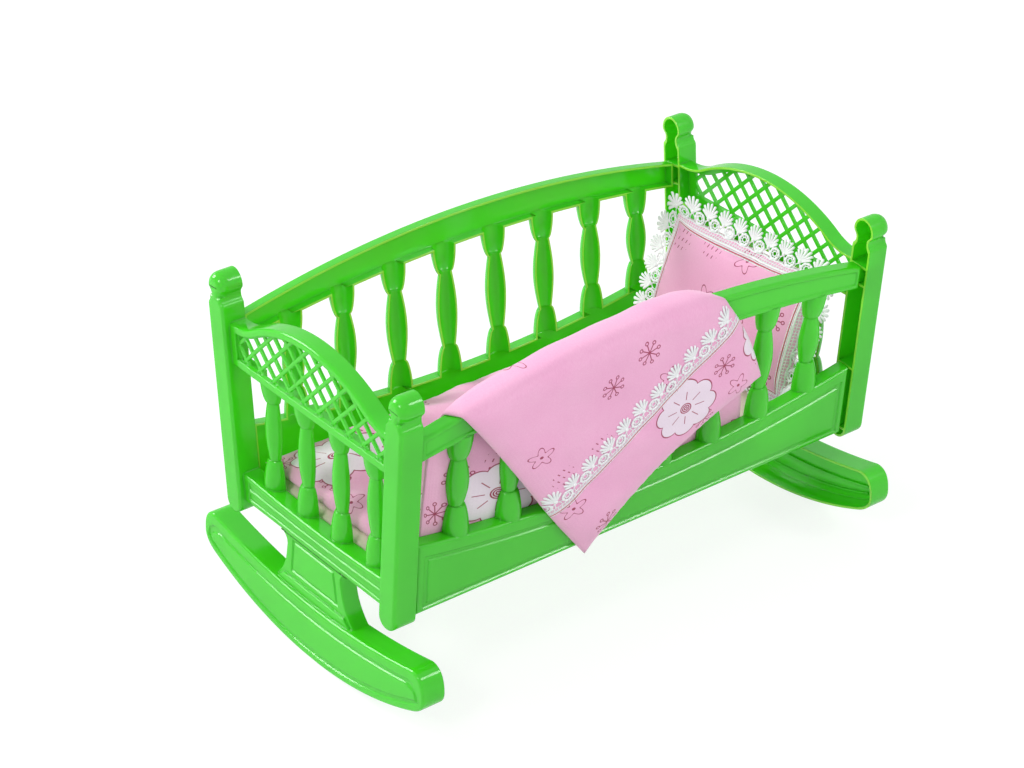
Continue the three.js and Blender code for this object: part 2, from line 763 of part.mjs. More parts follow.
// Scalloped lace standing out round the pillow seam, turned forward along the foot edge
function pillowLace() {
  const corners = [[0, 0], [1, 0], [1, 1], [0, 1]];
  const spans = [pillowWidth, pillowTall, pillowWidth, pillowTall];
  const around = spans.reduce((sum, span) => sum + span);
  const scallops = Math.round((around + 4 * laceWidth) / lacePitch);
  const section = (t) => {
    let run = t * around;
    let side = 0;
    while (side < 3 && run > spans[side]) {
      run -= spans[side];
      side += 1;
    }
    const share = run / spans[side];
    const [u0, v0] = corners[side];
    const [u1, v1] = corners[(side + 1) % 4];
    const [y, z] = pillowEdge(u0 + (u1 - u0) * share, v0 + (v1 - v0) * share);
    const cy = y / pillowWidth;
    const cz = (z - pillowTall / 2) / pillowTall;
    const out = new THREE.Vector2(
      Math.sign(cy) * (2 * Math.abs(cy)) ** laceCornerShare, Math.sign(cz) * (2 * Math.abs(cz)) ** laceCornerShare);
    out.normalize();
    const low = Math.min(1, Math.max(-out.y, 0) * laceTurnShare);
    const forward = low * laceForward;
    const width = laceWidth - laceScallop * (1 + Math.cos(2 * Math.PI * t * scallops)) / 2;
    const near = pillowSeam + laceThick / 2 + fitGap;
    const point = (reach, thick) => {
      const away = near + reach * (1 - forward) - thick * forward;
      return [-forward * reach - thick * (1 - forward), y + out.x * away, z + out.y * away];
    };
    const half = laceThick / 2;
    return [point(0, half), point(width, half), point(width, -half), point(0, -half)];
  };
  return leant(loopBody(section, laceFacets * scallops));
}

// Path of the blanket over the near side, seen from the foot end: up the outside, over the top
// rail, down behind the spindles and across the mattress
function blanketPath() {
  const spot = (w, v) => new THREE.Vector2(panelFootY + v * leanSin + w * leanCos, v * leanCos - w * leanSin);
  const bed = mattressTop + mattressCrown + blanketDrape;
  const high = topRailHigh + blanketDrape;
  const stops = [
    spot(panelDepth + blanketDrape, topRailHigh - blanketHang / leanCos),
    spot(panelDepth + blanketDrape, high),
    spot(-blanketDrape, high),
    spot(-blanketDrape, bed / leanCos),
    new THREE.Vector2(-blanketFarY, bed),
  ];
  const bends = [0, blanketBend, blanketBend, blanketBedBend, 0];
  const path = new THREE.Path();
  path.moveTo(stops[0].x, stops[0].y);
  const runs = [0];
  for (let i = 1; i < stops.length - 1; i += 1) {
    const corner = stops[i];
    const from = corner.clone().add(stops[i - 1].clone().sub(corner).setLength(bends[i]));
    const to = corner.clone().add(stops[i + 1].clone().sub(corner).setLength(bends[i]));
    path.lineTo(from.x, from.y);
    runs.push(path.getLength());
    path.quadraticCurveTo(corner.x, corner.y, to.x, to.y);
    path.cacheLengths = null;
    runs.push(path.getLength());
    path.cacheLengths = null;
  }
  path.lineTo(stops.at(-1).x, stops.at(-1).y);
  path.updateArcLengths();
  runs.push(path.getLength());
  return { path, runs, bed };
}

// Rows of the blanket as distances along that path: even steps between the bends
function blanketRuns(first, runs) {
  const counts = blanketRowCounts;
  const list = [];
  for (let i = 0; i < counts.length; i += 1) {
    const from = i === 0 ? first : runs[i];
    for (let k = 0; k < counts[i]; k += 1) {
      list.push(from + (runs[i + 1] - from) * k / counts[i]);
    }
  }
  list.push(runs.at(-1));
  return list;
}

// Face of the blanket, raised off its path: across its width, and by rows or by its length
function blanketFace(raise, byLength) {
  const { path, runs, bed } = blanketPath();
  const full = runs.at(-1);
  const crest = (runs[2] + runs[3]) / 2;
  const turn = THREE.MathUtils.degToRad(blanketTurnDegrees);
  const easeEnd = blanketFootX + blanketFootEase;
  const edge = (share, span) => Math.min(1, Math.max(0, Math.min(share, 1 - share) * span / blanketPuffEdge));
  return (u, v) => {
    const across = u * blanketWidth;
    const first = across * Math.sin(turn);
    const toCrest = (crest - first) / Math.cos(turn);
    const stretch = (full - crest) / (blanketLength - toCrest);
    const rows = blanketRuns(first, runs);
    const run = byLength ? first + v * blanketLength * Math.cos(turn) : rows[Math.round(v * (rows.length - 1))];
    const before = Math.min(run - first, crest - first) / Math.cos(turn);
    const past = Math.max(run - crest, 0) / stretch;
    const spread = u * blanketSpread * (1 - Math.exp(-past / blanketSpreadEase));
    let x = blanketCornerX + across * Math.cos(turn) - before * Math.sin(turn) - past * blanketSkewShare + spread;
    if (x < easeEnd) {
      x = blanketFootX + blanketFootEase * Math.exp((x - easeEnd) / blanketFootEase);
    }
    const point = path.getPointAt(run / full);
    const tangent = path.getTangentAt(run / full);
    const puff = Math.sin(Math.PI / 2 * edge(u, blanketWidth))
      * Math.sin(Math.PI / 2 * edge((before + past) / blanketLength, blanketLength));
    const fold = blanketFold * Math.sin(2 * Math.PI * (run + x / 2) / blanketFoldPitch);
    const lift = raise(blanketSeam + puff * (blanketPuff + fold));
    const y = point.x + tangent.y * lift;
    const z = point.y - tangent.x * lift;
    const drop = Math.max(z - bed, 0) * x * x / (2 * topRailHighRadius) / (topRailHigh - bed);
    return new THREE.Vector3(x, drop * Math.tan(lean) - y, z - drop);
  };
}

function blanket() {
  const rows = blanketRowCounts.reduce((sum, count) => sum + count);
  return sheetBody(blanketFace((thick) => thick), blanketFace(() => 0), blanketColumns, rows);
}

// Scalloped lace band sewn across the hanging end of the blanket
function blanketLace() {
  const scallops = Math.round(blanketWidth / lacePitch);
  const shift = (face) => (u, v) => {
    const scallop = laceScallop * (1 + Math.cos(2 * Math.PI * u * scallops)) / 2;
    const along = bandFrom + v * (bandWidth - scallop);
    return face(bandMargin + u * (1 - 2 * bandMargin), along / blanketLength);
  };
  return sheetBody(shift(blanketFace((thick) => thick + bandLift + bandThick, true)),
    shift(blanketFace((thick) => thick + bandLift, true)), laceFacets * scallops, bandRows);
}

// Assembly
const part = new THREE.Group();
part.name = 'doll_cradle';

function piece(name, geometry, colour, roughness) {
  geometry.deleteAttribute('normal');
  geometry.deleteAttribute('uv');
  const clean = mergeVertices(geometry, weld);
  clean.computeVertexNormals();
  const mesh = new THREE.Mesh(clean, new THREE.MeshStandardMaterial({ color: colour, roughness, metalness: 0 }));
  mesh.name = name;
  part.add(mesh);
  return mesh;
}

// Face-on drawings stood up: X across the cradle for the ends, along it for the sides
const headFrame = new THREE.Matrix4().makeBasis(
  new THREE.Vector3(0, 1, 0), new THREE.Vector3(0, 0, 1), new THREE.Vector3(1, 0, 0));
headFrame.setPosition(mouthX, 0, 0);
const nearFrame = new THREE.Matrix4().makeBasis(
  new THREE.Vector3(1, 0, 0), new THREE.Vector3(0, -leanSin, leanCos), new THREE.Vector3(0, -leanCos, -leanSin));
nearFrame.setPosition(0, -panelFootY, 0);

const end = endPanel().applyMatrix4(headFrame);
const side = sidePanel().applyMatrix4(nearFrame);
piece('headboard', end.clone(), green, plasticRoughness);
piece('footboard', end.clone().rotateZ(Math.PI), green, plasticRoughness);
piece('side_panel_near', side.clone(), green, plasticRoughness);
piece('side_panel_far', side.clone().rotateZ(Math.PI), green, plasticRoughness);
piece('floor_panel', floorPanel(), green, plasticRoughness);
piece('mattress', mattress(), cream, clothRoughness);
piece('pillow', pillow(), pink, clothRoughness);
piece('pillow_lace', pillowLace(), white, clothRoughness);
piece('blanket', blanket(), pink, clothRoughness);
piece('blanket_lace', blanketLace(), white, clothRoughness);

export default part;
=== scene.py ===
import math

import bmesh
import bpy
import numpy as np
from mathutils import Matrix, Quaternion, Vector


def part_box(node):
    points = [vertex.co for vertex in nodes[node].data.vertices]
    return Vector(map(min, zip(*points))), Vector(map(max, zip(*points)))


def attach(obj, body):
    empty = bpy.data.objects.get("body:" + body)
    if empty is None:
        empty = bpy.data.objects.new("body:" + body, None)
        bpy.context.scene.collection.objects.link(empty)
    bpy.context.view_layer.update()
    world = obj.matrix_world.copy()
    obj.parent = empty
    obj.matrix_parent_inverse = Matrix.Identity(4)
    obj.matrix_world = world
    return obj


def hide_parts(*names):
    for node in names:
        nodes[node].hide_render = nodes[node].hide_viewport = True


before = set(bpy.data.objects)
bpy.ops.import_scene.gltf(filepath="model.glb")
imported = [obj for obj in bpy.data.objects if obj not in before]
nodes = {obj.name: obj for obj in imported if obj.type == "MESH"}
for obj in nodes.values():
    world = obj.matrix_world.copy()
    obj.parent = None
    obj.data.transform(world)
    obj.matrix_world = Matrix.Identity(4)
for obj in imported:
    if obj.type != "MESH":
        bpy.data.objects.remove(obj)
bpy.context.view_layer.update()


# Head and foot ends. Each is one injection-moulded shell of glossy green plastic, open at its back:
# rocker, stem, two posts, rails, four half-turned spindles and an arch with a pierced lattice.
# Sizes are in millimetres: a moulding is drawn face on, cut flat at its back, and then stood up.
class Wire:
    """A shader socket that can be added, multiplied and compared like a number."""

    def __init__(self, tree, socket=None):
        self.tree, self.socket = tree, socket

    def node(self, kind, settings, values, out=0):
        """A new node, its settings made first, its sockets given values or links by name or number."""
        made = self.tree.nodes.new(kind)
        for name, value in settings.items():
            setattr(made, name, value)
        for name, value in values.items():
            if isinstance(value, Wire):
                self.tree.links.new(value.socket, made.inputs[name])
            else:
                made.inputs[name].default_value = value
        return Wire(self.tree, made.outputs[out]) if len(made.outputs) else None

    def maths(self, operation, *others):
        return self.node("ShaderNodeMath", {"operation": operation}, dict(enumerate((self, *others))))

    def __add__(self, other):
        return self.maths("ADD", other)

    __radd__ = __add__

    def __sub__(self, other):
        return self.maths("SUBTRACT", other)

    def __rsub__(self, other):
        return (self * -1).maths("ADD", other)

    def __mul__(self, other):
        return self.maths("MULTIPLY", other)

    __rmul__ = __mul__

    def __truediv__(self, other):
        return self.maths("DIVIDE", other)

    def __abs__(self):
        return self.maths("ABSOLUTE")

    def most(self, other):
        return self.maths("MAXIMUM", other)

    def floor(self):
        return self.maths("FLOOR")

    def power(self, other):
        return self.maths("POWER", other)

    def clamped(self):
        return self.maths("MAXIMUM", 0.0).maths("MINIMUM", 1.0)

    def below(self, edge, soft):
        """1 where the value is under the edge, fading to 0 over the soft width."""
        return ((edge - self) / soft + 0.5).clamped()

    def mixed(self, low, high):
        """Colour low where the value is 0 and high where it is 1."""
        return self.node("ShaderNodeMix", {"data_type": "RGBA"}, {0: self, 6: low, 7: high}, 2)

    def split(self):
        """The three parts of a place."""
        made = self.node("ShaderNodeSeparateXYZ", {}, {0: self})
        return [Wire(self.tree, made.socket.node.outputs[i]) for i in range(3)]

    def noise(self, place, scale, detail=2.0):
        return self.node("ShaderNodeTexNoise", {}, {"Vector": place, "Scale": scale, "Detail": detail})

    def stretched(self, factors):
        """A place with each axis scaled."""
        return self.node("ShaderNodeVectorMath", {"operation": "MULTIPLY"}, {0: self, 1: factors})


def srgb(red, green, blue):
    """A colour as seen on a screen, 0 to 255, as the shader's linear colour."""
    linear = [(c / 255 / 12.92) if c / 255 <= 0.04045 else ((c / 255 + 0.055) / 1.055) ** 2.4
              for c in (red, green, blue)]
    return (*linear, 1.0)


def new_finish(name):
    """A new material, and the wire that its nodes start from."""
    made = bpy.data.materials.new(name)
    made.use_nodes = True
    made.node_tree.nodes.clear()
    return made, Wire(made.node_tree)


def surfaced(made, surface):
    surface.node("ShaderNodeOutputMaterial", {}, {"Surface": surface})
    return made


def green_plastic(name, dark, bright):
    made, wire = new_finish(name)
    place = wire.node("ShaderNodeTexCoord", {}, {}, 3)
    cloudy = wire.noise(place, 14.0, 3.0)
    flow = wire.noise(place.stretched((1.0, 1.0, 0.25)), 90.0, 3.0)
    grain = wire.noise(place, 1400.0, 2.0)
    tone = (cloudy * 0.7 + flow * 0.3).clamped()
    # Painted shade: ambient occlusion within a few millimetres darkens the colour towards a deep green in
    # corners, creases and grooves.
    crease_shade_reach, edge_radius = 0.003, 0.0012
    painted_crease_shade = wire.node("ShaderNodeAmbientOcclusion", {"samples": 4, "only_local": True},
                     {"Distance": crease_shade_reach}, 1)
    colour = painted_crease_shade.power(0.6).mixed(srgb(24, 150, 14), tone.mixed(dark, bright))
    eased_edge = wire.node("ShaderNodeBevel", {"samples": 4}, {"Radius": edge_radius})
    peel = wire.node("ShaderNodeBump", {}, {
        "Strength": 0.06, "Distance": 0.0006, "Height": flow * 0.8 + grain * 0.2, "Normal": eased_edge})
    shell = wire.node("ShaderNodeBsdfPrincipled", {}, {
        "Base Color": colour, "Roughness": 0.1 + grain * 0.05 + cloudy * 0.03, "Normal": peel, "IOR": 1.63,
        "Subsurface Weight": 0.25, "Subsurface Radius": (0.35, 1.0, 0.1), "Subsurface Scale": 0.004})
    through = wire.node("ShaderNodeBsdfTranslucent", {}, {"Color": srgb(150, 255, 60), "Normal": peel})
    return surfaced(made, wire.node("ShaderNodeMixShader", {}, {0: 0.3, 1: shell, 2: through}))


# The thin cut rims get a brighter, yellower copy of the plastic: a painted glow that stands in for light
# coming through them.
plastic = green_plastic("green_plastic", srgb(58, 206, 26), srgb(80, 222, 40))
plastic_painted_rim_glow = green_plastic("green_plastic_painted_rim_glow", srgb(150, 240, 60), srgb(176, 250, 84))
wall, face_wall, lean = 1.8, 2.4, math.radians(4.4)
cradle_length, end_depth, rail_depth, behind = 430, 18.3, 13.3, -4.0
mouth_x = cradle_length / 2 - end_depth
rocker_reach, rocker_radius, rocker_top_radius, rocker_mid = 133.2, 300, 545, 45.6
rocker_flat, rocker_tip, rocker_tip_drop = 10, 13, 1.5
post_half, post_foot_half, post_foot_height = 9.0, 91.5, 76.0
shoulder, shoulder_round, post_length = 163.37, 2.5, 186.17
low_rail, low_rail_top, low_rail_radius = 86.9, 106.4, 1170
mid_rail, mid_rail_top, arch_top = 194.6, 201.2, 251.4
arch_half, arch_radius, arch_foot_radius, arch_spare = 68, 133, 43, 18
stem_foot_half, stem_flare_half, stem_waist_half, stem_top_half = 50, 36.5, 33.6, 31.8
stem_flare_rise, stem_waist_rise, stem_corner = 9.4, 23.4, 8
stem_field_low, stem_field_high, stem_field_foot_half, stem_field_top_half = 60, 82.5, 26, 22.5
lattice_front, lattice_back, lattice_pitch, lattice_bar = 11.3, 9.3, 17.4, 2.9
lattice_rise, lattice_bar_half = 11.2, 130
end_spindle_step, end_spindle_sizes = 40.6, (9.9, 5.4, 7.7)
groove_wide, groove_deep, field_margin, field_deep, field_slope = 4.4, 1.0, 3.8, 0.8, 0.6
rocker_margins, stem_groove_wide = (7.8, 5.4, 4.8), 2.8
rib_half, rib_thick, rib_front, ridge_back = 8.1, 1.8, 17.1, 14.1
rocker_round, post_round, finial_round, stem_round, plinth_round, rail_round = 2, 2.4, 5.6, 0.6, 0.8, 2
recess_margin, window_margin, lattice_margin = 5, 6.6, 6.2
spindle_wall, overrun, far_off = 1.5, 0.3, 400


def arc(x, y, radius, start, stop, count, tall=1.0):
    """Points on an arc, its angles in radians, both ends included."""
    turns = np.linspace(start, stop, count)
    return [(x + radius * math.cos(a), y + radius * tall * math.sin(a)) for a in turns]


def bent(points, count):
    """Points on a Bezier curve of two or three handles, without its first point."""
    ways = []
    for t in np.linspace(0, 1, count)[1:]:
        row = [np.array(p, float) for p in points]
        while len(row) > 1:
            row = [a * (1 - t) + b * t for a, b in zip(row, row[1:])]
        ways.append(tuple(row[0]))
    return ways


def mirrored(points):
    """An outline's right half, from bottom to top, closed with its left half."""
    return points + [(-x, y) for x, y in reversed(points) if abs(x) > 1e-6]


def thinned(points):
    """The outline without points that lie on each other."""
    return [p for p, q in zip(points, points[1:] + points[:1]) if math.dist(p, q) > 0.01]


def drawn_in(points, amount):
    """The outline moved inwards all round by that amount."""
    p = np.array(points)
    ahead, back = np.roll(p, -1, 0) - p, p - np.roll(p, 1, 0)
    ahead /= np.linalg.norm(ahead, axis=1)[:, None]
    back /= np.linalg.norm(back, axis=1)[:, None]
    inward = np.stack([-(ahead + back)[:, 1], (ahead + back)[:, 0]], 1)
    inward /= np.maximum(np.linalg.norm(inward, axis=1)[:, None], 1e-9)
    miter = (inward * np.stack([-ahead[:, 1], ahead[:, 0]], 1)).sum(1)
    return p + inward * (amount / np.maximum(miter, 0.35))[:, None]


def solid(points, faces):
    """A mesh from points and faces."""
    mesh = bpy.data.meshes.new("blank")
    mesh.from_pydata([tuple(map(float, p)) for p in points], [], faces)
    return mesh


def plate(points, low, high, round_edge=0.0, rings=6, dome=1.0):
    """A flat body between two heights, its front edge rounded, over more depth where domed."""
    points = thinned(points)
    area = sum(a[0] * b[1] - b[0] * a[1] for a, b in zip(points, points[1:] + points[:1]))
    points = points if area > 0 else points[::-1]
    layers = [(0, low), (0, high - round_edge * dome)]
    for k in range(1, rings + 1 if round_edge else 0):
        turn = math.pi / 2 * k / rings
        layers.append((round_edge * (1 - math.cos(turn)), high - round_edge * dome * (1 - math.sin(turn))))
    n, all_points, faces = len(points), [], []
    for inset, height in layers:
        ring = drawn_in(points, inset) if inset else points
        all_points += [(x, y, height) for x, y in ring]
    for k in range(len(layers) - 1):
        for i in range(n):
            j = (i + 1) % n
            faces.append((k * n + i, k * n + j, (k + 1) * n + j, (k + 1) * n + i))
    faces.append(tuple(range(n))[::-1])
    faces.append(tuple((len(layers) - 1) * n + i for i in range(n)))
    return solid(all_points, faces)


def sunk(points, face, deep, slope=0.9):
    """A cutter for a sunk field with sloping sides; a negative slope leaves a raised one."""
    points = thinned(points)
    n = len(points)
    layers = [drawn_in(points, slope), drawn_in(points, -slope)]
    corners = [(x, y, z) for ring, z in zip(layers, (face - deep, face + deep)) for x, y in ring]
    sides = [(i, (i + 1) % n, n + (i + 1) % n, n + i) for i in range(n)]
    return solid(corners, sides + [tuple(range(n))[::-1], tuple(n + i for i in range(n))])


def groove(outer, inner, face, deep):
    """A cutter for a groove with sloping sides between two outlines."""
    core = sunk(inner, face, deep, -0.9)
    core.transform(Matrix.Translation((0, 0, face)) @ Matrix.Scale(1.02, 4, Vector((0, 0, 1)))
                   @ Matrix.Translation((0, 0, -face)))
    return cut_or_joined(sunk(outer, face, deep), [core], "DIFFERENCE")


def block(x0, x1, y0, y1, z0, z1):
    """A plain box between those places."""
    return plate([(x0, y0), (x1, y0), (x1, y1), (x0, y1)], z0, z1)


def moved(mesh, matrix):
    """The mesh itself, moved."""
    mesh.transform(matrix)
    return mesh


def on_post(mesh, hand):
    """The mesh moved to the leaning post on that hand."""
    return moved(mesh, Matrix.Translation((hand * post_foot_half, post_foot_height, 0))
                 @ Matrix.Rotation(-hand * lean, 4, "Z"))


def placed(name, data):
    """A new object in the scene."""
    made = bpy.data.objects.new(name, data)
    bpy.context.scene.collection.objects.link(made)
    return made


def cut_or_joined(mesh, others, operation):
    """The mesh with others joined to it, taken from it or kept in common with it."""
    carrier = placed("carrier", mesh)
    for other in others:
        tool = placed("tool", other)
        step = carrier.modifiers.new("step", "BOOLEAN")
        step.operation, step.solver, step.object = operation, "MANIFOLD", tool
        result = bpy.data.meshes.new_from_object(carrier.evaluated_get(bpy.context.evaluated_depsgraph_get()))
        carrier.modifiers.clear()
        carrier.data = result
        bpy.data.objects.remove(tool)
        bpy.data.meshes.remove(other)
    result = carrier.data
    bpy.data.objects.remove(carrier)
    return result


def banded(low, low_radius, high, high_radius, reach):
    """A band between two long arcs; a positive radius rises towards the ends."""
    steps = np.linspace(-reach, reach, 49)
    return ([(x, low + (x * x / (2 * low_radius) if low_radius else 0)) for x in steps]
            + [(x, high + x * x / (2 * high_radius)) for x in steps[::-1]])


bell_foot_tall, bell_head_tall, bell_lip = 21.5, 19.0, 0.4


def turned(sizes, x, low, high, inset, extra):
    """A turned spindle: a bell at its foot and its head, and a long swelling body between them."""
    bell, neck, waist = (size - inset for size in sizes)
    foot, head = low + bell_foot_tall, high - bell_head_tall
    shares = np.sin(np.linspace(0, math.pi / 2, 12))
    bells = [neck + bell_lip + (bell - neck - bell_lip) * max(1 - t ** 1.6, 0) ** 0.6 for t in shares]
    rows = [(bell, low - extra)] + [(r, low + t * (foot - low)) for r, t in zip(bells, shares)]
    body_shares = np.linspace(0, 1, 18)
    rows += [(neck + (waist - neck) * math.sin(math.pi * s), foot + s * (head - foot)) for s in body_shares]
    rows += [(r, high - t * (high - head)) for r, t in zip(bells[::-1], shares[::-1])]
    rows.append((bell, high + extra))
    sides = 16 if inset else 40
    points, faces = [], []
    for radius, height in rows:
        points += [(x + radius * math.cos(a), height, radius * math.sin(a))
                   for a in np.linspace(0, 2 * math.pi, sides, endpoint=False)]
    for k in range(len(rows) - 1):
        for i in range(sides):
            j = (i + 1) % sides
            faces.append((k * sides + i, (k + 1) * sides + i, (k + 1) * sides + j, k * sides + j))
    faces.append(tuple(range(sides)))
    faces.append(tuple((len(rows) - 1) * sides + i for i in range(sides))[::-1])
    return solid(points, faces)


def moulding(members, hollows, inserts, cuts):
    """An open-backed shell: members joined, hollowed from behind, ribbed, then cut."""
    shell = cut_or_joined(members[0], members[1:], "UNION")
    shell = cut_or_joined(shell, hollows, "DIFFERENCE")
    shell = cut_or_joined(shell, inserts, "UNION")
    shell = cut_or_joined(shell, cuts, "DIFFERENCE")
    return cut_or_joined(shell, [block(-far_off, far_off, -far_off, far_off, 0, far_off)], "INTERSECT")


def rocker_outline(top, under, tip):
    """The curved runner with its round tips, drawn in by those amounts."""
    reach = rocker_reach - tip
    end = reach - rocker_tip
    centre = math.sqrt(rocker_radius ** 2 - rocker_flat ** 2)
    top_centre = rocker_mid + rocker_top_radius
    low_radius, top_radius = rocker_radius - under, rocker_top_radius + top
    start = math.asin(rocker_flat / rocker_radius)
    low_end, top_end = math.asin(end / low_radius), math.asin(end / top_radius)
    high = top_centre - top_radius * math.cos(top_end)
    low = centre - low_radius * math.cos(low_end)
    tip_z = (high + low) / 2 - rocker_tip_drop
    down = -math.pi / 2
    half = arc(0, centre, low_radius, down + start, down + low_end, 30)
    half += bent([half[-1], (reach, low + math.tan(low_end) * rocker_tip), (reach, tip_z)], 12)
    half += bent([half[-1], (reach, high), (end, high)], 12)
    half += arc(0, top_centre, top_radius, down + top_end, down, 30)[1:]
    return mirrored(half)


neck_half, neck_at, finial_at = post_half - 2.8, shoulder + 5.6, shoulder + 12.6
finial_root, finial_swell = shoulder - 14, 3.2


def post_outline(inset):
    """The square shaft with its rounded foot and its shoulders, up to the neck."""
    half, top = post_half - inset, shoulder - inset
    right = arc(0, half + inset, half, -math.pi / 2, 0, 12)
    right.append((half, top - shoulder_round))
    right += bent([right[-1], (half, top + shoulder_round), (neck_half - inset, top),
                   (neck_half - inset, neck_at)], 10)
    return mirrored(right + [(0, neck_at)])


def finial_outline(inset):
    """The ball on top of the post and the neck below it."""
    neck, finial = neck_half - inset, post_half - inset + 0.5
    right = [(0, finial_root), (neck, finial_root), (neck, neck_at)]
    right += bent([right[-1], (neck, neck_at + finial_swell), (finial, finial_at - finial_swell),
                   (finial, finial_at)], 10)
    right += arc(0, finial_at, finial, 0, math.pi / 2, 14, (post_length - inset - finial_at) / finial)[1:]
    return mirrored(right)


def bay_outline(inset, low, high):
    """Field between the two leaning posts, drawn in from their axes."""
    foot, head = (post_foot_half + (z - post_foot_height) * math.tan(lean) - inset / math.cos(lean)
                  for z in (low, high))
    return [(-foot, low), (foot, low), (head, high), (-head, high)]


def within_bay(mesh, inset, low, high, back, front):
    """The part of a mesh that lies between the posts."""
    return cut_or_joined(mesh, [plate(bay_outline(inset, low, high), back, front)], "INTERSECT")


def arch_outline(inset, low):
    """A round crown running out in hollow shoulders, with a straight lower edge."""
    angle, apart = math.asin(arch_half / arch_radius), arch_radius + arch_foot_radius
    side_x, side_z = apart * math.sin(angle), arch_top - arch_radius + apart * math.cos(angle)
    hollow, wide, up = arch_foot_radius + inset, side_x + arch_spare, math.pi / 2
    right = [(0, low), (wide, low), (wide, side_z - hollow)]
    right += arc(side_x, side_z, hollow, -up, -up - angle, 12)
    right += arc(0, arch_top - arch_radius, arch_radius - inset, up - angle, up, 24)[1:]
    return mirrored(right)


def stem_outline(inset, low, high):
    """The waisted stem between rocker and lower rail."""
    halves = (stem_foot_half, stem_flare_half, stem_waist_half, stem_top_half)
    foot, flare, waist, top = (size - inset for size in halves)
    right = [(0, low), (foot, low)]
    right += bent([right[-1], (flare, rocker_mid + stem_flare_rise + inset),
                   (waist, rocker_mid + stem_waist_rise)], 10)
    right.append((top, high - stem_corner))
    right += bent([right[-1], (top, high), (top + stem_corner, high)], 8)
    return mirrored(right)


def stem_panel(grow):
    """The framed field on the stem, larger all round by that amount."""
    low, high = stem_field_low - grow, stem_field_high + grow
    foot, top = stem_field_foot_half + grow, stem_field_top_half + grow
    return [(-foot, low), (foot, low), (top, high), (-top, high)]


def lattice_bars():
    """Two sets of slanting bars with rounded fronts, trimmed to the window of the arch."""
    half, row, thick = lattice_pitch / 2, mid_rail_top + lattice_rise, lattice_bar / 2
    bar_outline = [(-lattice_bar_half, -thick), (lattice_bar_half, -thick), (lattice_bar_half, thick),
                   (-lattice_bar_half, thick)]
    bars = []
    # The second set is a hair thinner, so that no two faces lie in one plane.
    sets = ((-1, lattice_back, lattice_front), (1, lattice_back + 0.04, lattice_front - 0.06))
    for slant, back, front in sets:
        for k in range(-14, 18, 2):
            bar = plate(bar_outline, back, front, 0.7, 4)
            bars.append(moved(bar, Matrix.Translation((0, row + k * half, 0))
                              @ Matrix.Rotation(slant * math.pi / 4, 4, "Z")))
    bars = cut_or_joined(bars[0], bars[1:], "UNION")
    low, high, deep = 190, 260, 40
    return cut_or_joined(bars, [
        plate(arch_outline(lattice_margin, mid_rail_top - 0.4), 0, deep),
        plate(bay_outline(post_half + lattice_margin + 1, low, high), 0, deep)], "INTERSECT")


def arch_opening(margin, low):
    """A cutter for the opening under the arch, that far inside its edges."""
    return within_bay(plate(arch_outline(margin, mid_rail_top), low, far_off),
                      post_half + margin + 1, mid_rail, arch_top, 0, 2 * far_off)


panel_foot_y = 81.44
panel_to_post = (panel_foot_y - post_foot_half) * math.sin(lean) - post_foot_height * math.cos(lean)
panel_gap, tongue_inset = 2.2, 3.4
panel_reach = mouth_x - panel_gap
panel_bottom, ledge_mid, ledge_radius = 83.43, 122.83, 1030
rail_low, rail_low_radius, rail_high, rail_high_radius = 223.53, 1200, 248.33, 866
tongue_spans = [(panel_bottom + tongue_inset, ledge_mid + panel_reach ** 2 / 2 / ledge_radius - tongue_inset),
                (rail_low - panel_reach ** 2 / 2 / rail_low_radius + tongue_inset,
                 rail_high - panel_reach ** 2 / 2 / rail_high_radius - tongue_inset)]
post_rib_levels = [panel_to_post + level for low, high in tongue_spans for level in (low - 2.1, high + 0.3)]


